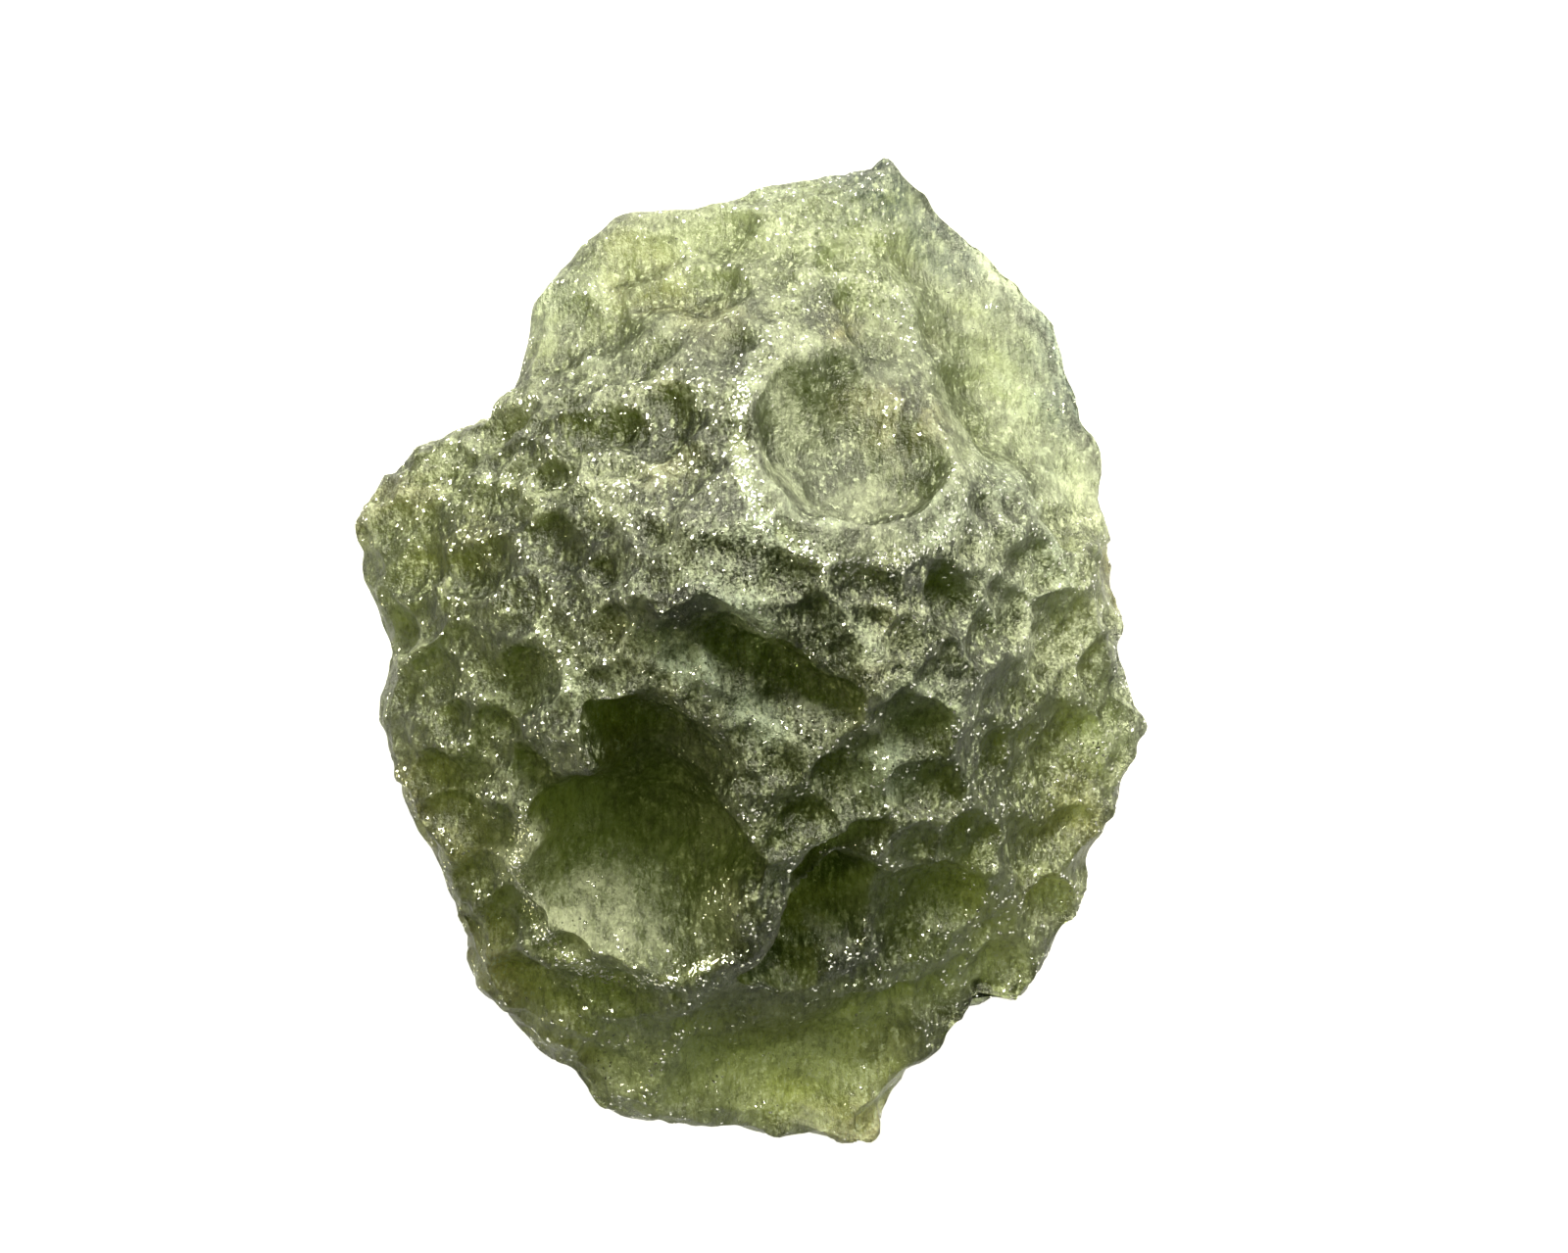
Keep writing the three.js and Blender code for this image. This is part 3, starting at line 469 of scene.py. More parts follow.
@dataclass(frozen=True)
class Etching:
    """Everything that is carved out of the blank."""

    blank: Blank
    bend_share: float = 0.22
    bend_limit: float = 0.22
    blunt: float = 0.04
    edge_depth: float = 0.3
    scoop_reach: float = 1.9
    pit_margin: float = 0.15
    spin_swing: float = 1.3
    hand_depth: float = 0.92
    hand_growth: float = 1.2
    calm_height: float = 2.6
    large_bowl: float = 1.6
    deepest_push: float = 2.2
    cup_ripple: float = 0.02
    rings_per_cup: float = 7.0
    jag: float = 0.28
    jag_length: float = 0.8
    jag_seed: int = 4
    crumple: float = 0.07
    crumple_size: tuple[float, float, float] = (1.3, 0.8, 0.8)

    def placed(self, row: Row, ripple: float) -> Scoop:
        """Sets one listed scoop on the blank's upper side.

        Args:
            row: A row of a Hollow group.
            ripple: The height of the rings in its floor.

        Returns:
            The scoop.
        """
        x, y, half_length, half_width, degrees, depth = row[:6]
        lean_x, lean_y = row[6:8] if len(row) > 6 else (0.0, 0.0)
        flatness = row[8] if len(row) > 8 else 1.0
        step = 0.25
        around_x = np.array((x + step, x - step, x, x, x))
        around_y = np.array((y, y, y + step, y - step, y))
        height = self.blank.upper_surface(around_x, around_y)
        lean = np.array((lean_x - (height[0] - height[1]) / (2 * step),
                         lean_y - (height[2] - height[3]) / (2 * step)))
        lean *= min(1.0, self.blank.steepest_lean / max(np.hypot(*lean), 1e-9))
        return Scoop.turned((x, y, height[4]), (lean[0], lean[1], 1.0), math.radians(degrees),
                            half_length, half_width, depth, flatness, ripple)

    def pits(self, points: Array, outward: Array, kind: Strewing) -> list[Scoop]:
        """Strews pits over the carved skin itself, each square to it.

        Args:
            points: The stone's points.
            outward: The skin's direction at each point.
            kind: How many there are, and their sizes.

        Returns:
            The scoops.
        """
        index = np.arange(kind.count)
        chosen = (scatter(kind.seed, index * 12.9898, 43758.5453) * len(points)).astype(int)
        size = kind.small + (kind.large - kind.small) * scatter(kind.seed, index * 3.17, 9123.11) ** 2
        width = size * (0.5 + 0.5 * scatter(kind.seed, index * 5.31, 7131.7))
        spin = self.spin_swing * (scatter(kind.seed, index * 1.71, 3571.3) - 0.5)
        depth = size * kind.depth_share * (0.5 + scatter(kind.seed, index * 2.41, 6151.9))
        depth *= self.calm(points[chosen])
        return [Scoop.turned(points[k], outward[k], spin[i], size[i], width[i], depth[i])
                for i, k in zip(index, chosen)]

    def pit_reach(self, pit: Scoop) -> float:
        """Returns how far from its middle a pit may change the skin."""
        return self.scoop_reach * max(pit.half_length, pit.half_width) + self.pit_margin

    def calm(self, points: Array) -> Array:
        """Returns how much of its depth the fine etching keeps at each point.

        Args:
            points: The stone's points.

        Returns:
            1 where it keeps all of it.
        """
        kept = np.ones(len(points))
        for patch in Calm:
            for *place, share in patch.value:
                fade = smooth_ramp(way_out(points, *place), 0.75, 1.05)
                kept = np.minimum(kept, share + (1.0 - share) * fade)
        return np.where(points[:, 2] > self.calm_height, kept, 1.0)

    def tinted(self, points: Array, tint: Tint) -> Array:
        """Returns how strongly each point is tinted.

        Args:
            points: The stone's points.
            tint: The colour whose patches are meant.

        Returns:
            0 where there is no tint.
        """
        strongest = np.zeros(len(points))
        for *place, strength in tint.value:
            fade = 1.0 - smooth_ramp(way_out(points, *place), 0.45, 1.35)
            strongest = np.maximum(strongest, strength * fade)
        return np.where(points[:, 2] > self.calm_height, strongest, 0.0)

    def rims(self, points: Array) -> Array:
        """Returns 1 on the cups' left and lower rims, which face the light: a mask for painted highlight.

        Args:
            points: The stone's points.

        Returns:
            How much of a rim each point is.
        """
        # Painted highlight: only the side of each rim that faces the light is marked.
        worn = np.zeros(len(points))
        for row in Hollow.CUPS.value[:2]:
            beside = 1.0 - smooth_ramp(np.abs(way_out(points, *row[:5]) - 1.0), 0.02, 0.1)
            side = unit(points[:, :2] - row[:2]) @ (-0.6, -0.8)
            worn = np.maximum(worn, beside * smooth_ramp(side, -0.1, 0.4))
        return worn

    def strewn(self, kind: Strewing) -> list[Scoop]:
        """Strews scallops on a spiral of directions, each square to the blank.

        Args:
            kind: How many there are, and their sizes.

        Returns:
            The scoops.
        """
        index = np.arange(kind.count)
        jitter = scatter(kind.seed, index * 12.9898, 43758.5453) - 0.5
        swing = scatter(kind.seed, index * 78.233, 24634.6345) - 0.5
        z = np.clip(1.0 - 2.0 * (index + 0.5 + jitter) / kind.count, -0.999, 0.999)
        turn = index * math.pi * (3.0 - math.sqrt(5.0)) + swing * 0.35
        ring = np.sqrt(1.0 - z * z)
        direction = np.stack((ring * np.cos(turn), ring * np.sin(turn), z), axis=1)
        east = np.stack((-np.sin(turn), np.cos(turn), np.zeros_like(turn)), axis=1)
        north = np.cross(direction, east)
        points = self.blank.surface_points(direction)
        tangents = []
        for way in (east, north):
            ahead = self.blank.surface_points(unit(direction + way * 0.012))
            behind = self.blank.surface_points(unit(direction - way * 0.012))
            tangents.append(ahead - behind)
        up = unit(np.cross(*tangents))
        middle = np.array((*self.blank.heart, 4.5))
        up *= np.where(np.einsum("ij,ij->i", up, points - middle) < 0, -1.0, 1.0)[:, None]
        spread = scatter(kind.seed, index * 3.17, 9123.11) ** 2
        size = kind.small + (kind.large - kind.small) * spread
        width = size * (0.5 + 0.4 * scatter(kind.seed, index * 5.31, 7131.7))
        spin = self.spin_swing * (scatter(kind.seed, index * 1.71, 3571.3) - 0.5)
        edge = np.hypot(points[:, 0] - self.blank.heart[0], points[:, 1] - self.blank.heart[1])
        edge /= self.blank.outline_radius(np.arctan2(points[:, 1] - self.blank.heart[1],
                                                     points[:, 0] - self.blank.heart[0]))
        shallow = 1.0 - (1.0 - self.edge_depth) * smooth_ramp(edge, 0.78, 0.97)
        depth = size * kind.depth_share * (0.6 + 0.8 * scatter(kind.seed, index * 2.41, 6151.9)) * shallow
        depth *= self.calm(points)
        return [Scoop.turned(points[i], up[i], spin[i], size[i], width[i], depth[i]) for i in index]

    def large_scoops(self) -> list[Scoop]:
        """Returns the cups, the shoulder's spall and the dark hollow."""
        found = []
        for group in (Hollow.CUPS, Hollow.SHOULDER, Hollow.DARK_HOLLOW):
            ripple = self.cup_ripple if group is Hollow.CUPS else 0.0
            found.extend(self.placed(row, ripple) for row in group.value)
        return found

    def small_scoops(self) -> list[Scoop]:
        """Returns the strewn cells, and after them the smaller listed scoops."""
        found = self.strewn(Scallop.CELLS.value)
        for group in (Hollow.PEAK, Hollow.LOWER_END, Hollow.RIGHT_SIDE, Hollow.LEFT_SIDE, Hollow.PLATE):
            for row in group.value:
                x, y, half_length, half_width, degrees, depth, *rest = row
                found.append(self.placed((x, y, half_length * self.hand_growth,
                                          half_width * self.hand_growth, degrees,
                                          depth * self.hand_depth, *rest), 0.0))
        return found

    def jags(self, points: Array) -> Array:
        """Returns a small shift for each point, which makes the bowls' rims ragged."""
        noise.seed_set(self.jag_seed)
        return np.array([noise.noise_vector(point) for point in points / self.jag_length]) * self.jag

    def crumpled(self, points: Array, outward: Array) -> Array:
        """Returns the points with a fine crumple of ridges over the whole skin.

        Args:
            points: The stone's points.
            outward: The skin's direction at each point.

        Returns:
            The crumpled points.
        """
        places = points / np.array(self.crumple_size)
        height = np.array([noise.ridged_multi_fractal(place, 0.9, 2.1, 3, 1.0, 2.0) for place in places])
        height = (height - height.mean()) * self.crumple * self.calm(points)
        return points + outward * height[:, None]

    def carve(self, points: Array, scoop: Scoop, jags: Array, near: Array | None = None) -> None:
        """Pushes the points inside a bowl down onto its floor, along its axis.

        Args:
            points: The stone's points, changed in place.
            scoop: The bowl.
            jags: A small shift for each point.
            near: The places in the list of the points that may lie inside, if they are known.
        """
        if near is None:
            reach = self.scoop_reach * max(scoop.half_length, scoop.half_width) + scoop.depth
            span = points - scoop.at
            near = np.flatnonzero(np.einsum("ij,ij->i", span, span) < reach * reach)
        if not len(near):
            return
        x, y, z = points[near].T
        away = points[near] - scoop.at
        bend = min(self.bend_share * min(scoop.half_length, scoop.half_width), self.bend_limit)
        wander = np.stack((
            np.sin(2.1 * y + 1.3 * z + scoop.at[0]),
            np.sin(1.9 * z + 1.5 * x + scoop.at[1]),
            np.sin(2.3 * x + 1.7 * y + scoop.at[2]),
        ), axis=1)
        wandering = away + bend * wander + jags[near] * min(1.0, scoop.half_width)
        u = wandering @ scoop.along / scoop.half_length
        v = wandering @ scoop.across / scoop.half_width
        out = u * u + v * v
        bowl = scoop.depth * (out ** scoop.flatness - 1.0)
        floor = np.where(out > 1.0, 2.5 * scoop.depth * (out - 1.0), bowl)
        if scoop.ripple:
            rings = np.sqrt(out) + 0.02 * np.sin(5.0 * np.arctan2(v, u))
            floor += scoop.ripple * np.sin(2.0 * math.pi * self.rings_per_cup * rings)
        over = away @ scoop.up - floor
        cut = np.where(over > 3.0 * self.blunt, over, 0.5 * (over + np.hypot(over, self.blunt)))
        if scoop.half_length < self.large_bowl:
            limit = self.deepest_push * scoop.depth + self.blunt
            cut = limit * np.tanh(cut / limit)
        inside = (over > -3.0 * self.blunt) & (out < 3.2)
        points[near[inside]] -= cut[inside, None] * scoop.up


class Relief(Enum):
    """How far a place stands out from the skin around it, finely and widely.

    A row is the rounds of evening that give its own height, those that give the height around
    it, and the difference that counts as much.
    """

    CREST = (1, 6, 0.012)
    SWELL = (6, 60, 0.12)


@dataclass
class Mesh:
    """The stone's mesh while it is worked on, as points and the edges between them."""

    rows: int = 128
    upward_pull: float = 0.3

    def ball(self) -> bmesh.types.BMesh:
        """Returns a ball of even square faces, closer together on its upper side."""
        form = bmesh.new()
        bmesh.ops.create_cube(form, size=2.0)
        bmesh.ops.subdivide_edges(form, edges=form.edges[:], cuts=self.rows - 1, use_grid_fill=True)
        for vertex in form.verts:
            place = Vector(math.tan(value * math.pi / 4.0) for value in vertex.co).normalized()
            share = 1.0 + self.upward_pull * place.z
            flat = math.sqrt(1.0 - self.upward_pull ** 2) / share
            vertex.co = (place.x * flat, place.y * flat, (place.z + self.upward_pull) / share)
        return form


@dataclass
class Stone:
    """The moldavite itself."""

    etching: Etching
    mesh: Mesh
    node: str = "moldavite"
    slot: str = "moldavite_glass"
    spread_rounds: int = 20
    edge_from: float = 0.9
    edge_to: float = 0.98
    edge_rounds: int = 3
    slide: float = 0.7

    @staticmethod
    def neighbour_mean(values: Array, edges: Array, rounds: int) -> Array:
        """Evens values out over the mesh.

        Args:
            values: One row for each point.
            edges: The two points of each edge.
            rounds: How many times each point takes the mean of itself and its neighbours.

        Returns:
            The evened values.
        """
        count = len(values)
        first, second = edges.T
        links = np.bincount(first, minlength=count) + np.bincount(second, minlength=count) + 1.0
        evened = values.copy()
        for _ in range(rounds):
            total = evened.copy()
            for axis in range(values.shape[1]):
                column = evened[:, axis]
                total[:, axis] += np.bincount(first, column[second], count)
                total[:, axis] += np.bincount(second, column[first], count)
            evened = total / links[:, None]
        return evened

    @staticmethod
    def normals(mesh: bpy.types.Mesh) -> Array:
        """Returns the outward direction at each point of a mesh."""
        found = np.empty(len(mesh.vertices) * 3, np.float32)
        mesh.vertex_normals.foreach_get("vector", found)
        return found.reshape(-1, 3).astype(float)

    @staticmethod
    def place(mesh: bpy.types.Mesh, points: Array) -> None:
        """Moves a mesh's points to new places, in millimetres."""
        mesh.vertices.foreach_set("co", (points * MM).astype(np.float32).ravel())
        mesh.update()

    def spread(self, mesh: bpy.types.Mesh, points: Array, edges: Array, rounds: int) -> Array:
        """Spaces the points more evenly by sliding them along the skin.

        Args:
            mesh: The mesh that they belong to.
            points: The stone's points.
            edges: The two points of each edge.
            rounds: How many times each point slides.

        Returns:
            The points after it.
        """
        for _ in range(rounds):
            self.place(mesh, points)
            outward = self.normals(mesh)
            move = self.neighbour_mean(points, edges, 1) - points
            move -= outward * np.einsum("ij,ij->i", move, outward)[:, None]
            points = points + self.slide * move
        return points

    def blunted(self, points: Array, edges: Array) -> Array:
        """Returns the points with the stone's thin edge worn blunt.

        Args:
            points: The stone's points.
            edges: The two points of each edge.

        Returns:
            The points after it.
        """
        blank = self.etching.blank
        away = points[:, :2] - blank.heart
        share = np.hypot(*away.T) / blank.outline_radius(np.arctan2(away[:, 1], away[:, 0]))
        worn = smooth_ramp(share, self.edge_from, self.edge_to)[:, None]
        for _ in range(self.edge_rounds):
            points = points + worn * (self.neighbour_mean(points, edges, 1) - points)
        return points

    @staticmethod
    def keep(mesh: bpy.types.Mesh, name: str, values: Array) -> None:
        """Keeps one number for each point in the mesh, for the finish to read."""
        layer = mesh.attributes.new(name, "FLOAT", "POINT")
        layer.data.foreach_set("value", values.astype(np.float32))

    def carved(self, mesh: bpy.types.Mesh, edges: Array) -> Array:
        """Carves the blank, from the large cups down to the finest pits.

        Args:
            mesh: The ball that the stone is shaped from.
            edges: The two points of each edge.

        Returns:
            The carved points.
        """
        directions = np.empty(len(mesh.vertices) * 3, np.float32)
        mesh.vertices.foreach_get("co", directions)
        points = self.etching.blank.surface_points(unit(directions.reshape(-1, 3).astype(float)))
        jags = self.etching.jags(points)
        for scoop in self.etching.large_scoops():
            self.etching.carve(points, scoop, jags)
        points = self.spread(mesh, points, edges, self.spread_rounds)
        jags = self.etching.jags(points)
        for scoop in self.etching.small_scoops():
            self.etching.carve(points, scoop, jags)
        points = self.spread(mesh, points, edges, 1)
        self.place(mesh, points)
        points = self.etching.crumpled(points, self.normals(mesh))
        points = self.blunted(points, edges)
        self.place(mesh, points)
        tree = KDTree(len(points))
        for number, point in enumerate(points):
            tree.insert(point, number)
        tree.balance()
        for pit in self.etching.pits(points, self.normals(mesh), Scallop.PITS.value):
            found = tree.find_range(pit.at, self.etching.pit_reach(pit))
            self.etching.carve(points, pit, jags, np.array([item[1] for item in found]))
        return self.centred(points)

    def marked(self, mesh: bpy.types.Mesh, points: Array, edges: Array) -> None:
        """Keeps what the finish reads at each point.

        Args:
            mesh: The finished mesh.
            points: Its points, in millimetres.
            edges: The two points of each edge.
        """
        outward = self.normals(mesh)
        self.keep(mesh, "calm", 1.0 - self.etching.calm(points))
        # Painted highlight: the cups' lit rims, which get extra frost and glints.
        self.keep(mesh, "rim", self.etching.rims(points))
        for tint in Tint:
            self.keep(mesh, tint.name.lower(), self.etching.tinted(points, tint))
        for relief in Relief:
            near, far, height = relief.value
            close = self.neighbour_mean(points, edges, near)
            wide = self.neighbour_mean(close, edges, far - near)
            bulge = np.einsum("ij,ij->i", close - wide, outward)
            self.keep(mesh, relief.name.lower(), 0.5 + 0.5 * np.tanh(bulge / height))

    def build(self) -> bpy.types.Object:
        """Shapes the stone and stands it where its solid is.

        Returns:
            The finished object, with no material yet.
        """
        form = self.mesh.ball()
        mesh = bpy.data.meshes.new(self.node)
        form.to_mesh(mesh)
        form.free()
        edges = np.empty(len(mesh.edges) * 2, np.int32)
        mesh.edges.foreach_get("vertices", edges)
        edges = edges.reshape(-1, 2)
        points = self.carved(mesh, edges)
        self.place(mesh, points)
        self.marked(mesh, points, edges)
        for polygon in mesh.polygons:
            polygon.use_smooth = True
        stone = bpy.data.objects.new(f"{self.node}_skin", mesh)
        bpy.context.scene.collection.objects.link(stone)
        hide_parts(self.node)
        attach(stone, "root")
        return stone

    @staticmethod
    def centred(points: Array) -> Array:
        """Wears the belly flat and moves the stone's middle onto that of its solid.

        Args:
            points: The stone's points, changed in place.

        Returns:
            The points.
        """
        points[:, 2] = np.maximum(points[:, 2], 0.0)
        middle = (points.min(axis=0) + points.max(axis=0)) / 2.0
        low, high = (np.array(corner) / MM for corner in CAD_BOX)
        target = (low + high) / 2.0
        points[:, :2] += (target - middle)[:2]
        return points


class Bench:
    """Lays out the nodes of one material."""

    def __init__(self, name: str) -> None:
        """Starts an empty material with its output."""
        self.material = bpy.data.materials.new(name)
        self.material.use_nodes = True
        self.tree = self.material.node_tree
        self.tree.nodes.clear()
        self.output = self.tree.nodes.new("ShaderNodeOutputMaterial")

    def add(self, kind: str, settings: dict[str, object] | None = None,
            **sockets: object) -> bpy.types.Node:
        """Adds a node.

        Args:
            kind: The node's type, without its ShaderNode prefix.
            settings: The node's own choices, by attribute name.
            **sockets: A value or a socket for each input, its name in lower case with _.

        Returns:
            The node.
        """
        node = self.tree.nodes.new(f"ShaderNode{kind}")
        for name, value in (settings or {}).items():
            setattr(node, name, value)
        for name, value in sockets.items():
            self.feed(node, name, value)
        return node

    def feed(self, node: bpy.types.Node, name: str, value: object) -> None:
        """Links or sets one input, found by its name or, where that is a number, its place.

        Args:
            node: The node.
            name: The input's name in lower case with _, or in_ and its place.
            value: What is linked or set.
        """
        if name.startswith("in_"):
            socket = node.inputs[int(name[3:])]
        else:
            socket = next(item for item in node.inputs
                          if item.enabled and item.name.lower().replace(" ", "_") == name)
        if isinstance(value, Socket):
            self.tree.links.new(value, socket)
        else:
            socket.default_value = value

    def math(self, operation: str, first: object, second: object, clamp: bool = False) -> Socket:
        """Adds a sum of two numbers and returns its result."""
        node = self.add("Math", {"operation": operation, "use_clamp": clamp}, in_0=first, in_1=second)
        return node.outputs[0]

    def ramp(self, value: object, low: float, high: float, start: float = 0.0, end: float = 1.0) -> Socket:
        """Turns a number from low to high into one from start to end, softly.

        Args:
            value: The number, as a socket.
            low: Where the slope begins.
            high: Where it ends.
            start: The result up to low.
            end: The result from high on.

        Returns:
            The result.
        """
        node = self.add("MapRange", {"interpolation_type": "SMOOTHSTEP"}, value=value, from_min=low,
                        from_max=high, to_min=start, to_max=end)
        return node.outputs[0]

    def mix(self, share: object, first: object, second: object) -> Socket:
        """Blends two colours and returns the result."""
        node = self.add("Mix", {"data_type": "RGBA"}, in_0=share, in_6=first, in_7=second)
        return node.outputs[2]

    def read(self, name: str) -> Socket:
        """Returns a number that the mesh keeps for each point."""
        return self.add("Attribute", {"attribute_name": name}).outputs["Fac"]

    def vector(self, operation: str, first: object, second: object) -> Socket:
        """Adds a sum of two vectors, or of a vector and a scale, and returns its result.

        Args:
            operation: The node's operation.
            first: A vector.
            second: A vector, or the scale for SCALE.

        Returns:
            The result.
        """
        socket = "scale" if operation == "SCALE" else "in_1"
        node = self.add("VectorMath", {"operation": operation}, in_0=first, **{socket: second})
        return node.outputs[0]

    def cells(self, where: Socket, size: float) -> Socket:
        """Returns a pattern of cells about size metres wide, each with a colour of its own."""
        return self.add("TexVoronoi", vector=where, scale=1.0 / size).outputs["Color"]

    def noise(self, where: Socket, size: float, detail: float, roughness: float) -> Socket:
        """Returns a cloudy pattern whose patches are about size metres wide."""
        node = self.add("TexNoise", vector=where, scale=1.0 / size, detail=detail, roughness=roughness)
        return node.outputs["Fac"]


@dataclass(frozen=True)
class GlassFinish:
    """Etched natural glass: clear olive glass under a frosted, sugary skin."""

    name: str = "moldavite_glass"
    clear: Colour = (0.70, 0.75, 0.54, 1.0)
    frost: Colour = (0.72, 0.77, 0.60, 1.0)
    brown: Colour = (0.76, 0.66, 0.30, 1.0)
    # Grey-green: a tone of the frost film, and the colour of the painted sheen patches.
    teal: Colour = (0.62, 0.73, 0.62, 1.0)
    # The bluish grey of the painted shade on the plate and the shoulder.
    blue: Colour = (0.10, 0.13, 0.14, 1.0)
    olive: Colour = (0.55, 0.62, 0.16, 1.0)
    # The near-black olive of the painted shade in the darkest hollows.
    deep: Colour = (0.03, 0.05, 0.01, 1.0)
    # The dark olive of the painted shade in the hollows.
    pocket_shade: Colour = (0.36, 0.43, 0.09, 1.0)
    # The colour of the painted light patches.
    pale: Colour = (0.86, 0.89, 0.72, 1.0)
    sparkle: Colour = (0.95, 0.95, 0.92, 1.0)
    see_through: float = 1.0
    frosted: float = 0.78
    clear_roughness: float = 0.3
    frost_roughness: float = 0.58
    glint_roughness: float = 0.3
    ior: float = 1.49
    absorbed: Colour = (0.565, 0.61, 0.32, 1.0)
    density: float = 860.0
    fleck_size: float = 0.055 * MM
    grit_size: float = 0.08 * MM
    grain_size: float = 0.12 * MM
    mottle_size: float = 0.25 * MM
    streak_size: float = 0.35 * MM
    cloud_size: float = 1.1 * MM
    drift_size: float = 4.5 * MM
    bump_height: float = 0.09 * MM
    streak: tuple[float, float, float] = (1.6, 0.6, 1.0)
    # Extra frost as painted light on the cups' lit rims, the pale patches and the sheen patches.
    highlight_frost: float = 0.55
    # Frost taken off the clearer olive skin and, as painted shade, off the darkest places and the hollows.
    bare_frost: float = 0.6
    crumb_luck: float = 0.9
    glint_luck: float = 0.94
    grain_lean: float = 0.48
    glint_lean: float = 1.1

    def make(self) -> bpy.types.Material:
        """Returns the material."""
        bench = GlassBench(self)
        # The hollow mask carries painted shade: it darkens the hollows and thins their frost.
        hollow = bench.hollows()
        crumb = bench.crumbs()
        glint = bench.glints()
        frost = bench.frosting(hollow, crumb)
        colour = bench.mix(glint, bench.painted(frost, hollow, crumb), self.sparkle)
        shine = bench.math("MAXIMUM", glint, bench.read("gloss"))
        roughness = bench.ramp(frost, 0.0, 1.0, self.clear_roughness, self.frost_roughness)
        roughness = bench.math("MULTIPLY", roughness,
                               bench.ramp(shine, 0.0, 1.0, 1.0, self.glint_roughness))
        through = bench.ramp(frost, 0.0, 1.0, self.see_through, self.frosted)
        skin = bench.add("BsdfPrincipled", base_color=colour, roughness=roughness, metallic=glint,
                         ior=self.ior, transmission_weight=through, normal=bench.grained(glint))
        inside = bench.add("VolumeAbsorption", color=self.absorbed, density=self.density)
        bench.tree.links.new(skin.outputs[0], bench.output.inputs["Surface"])
        bench.tree.links.new(inside.outputs[0], bench.output.inputs["Volume"])
        return bench.material


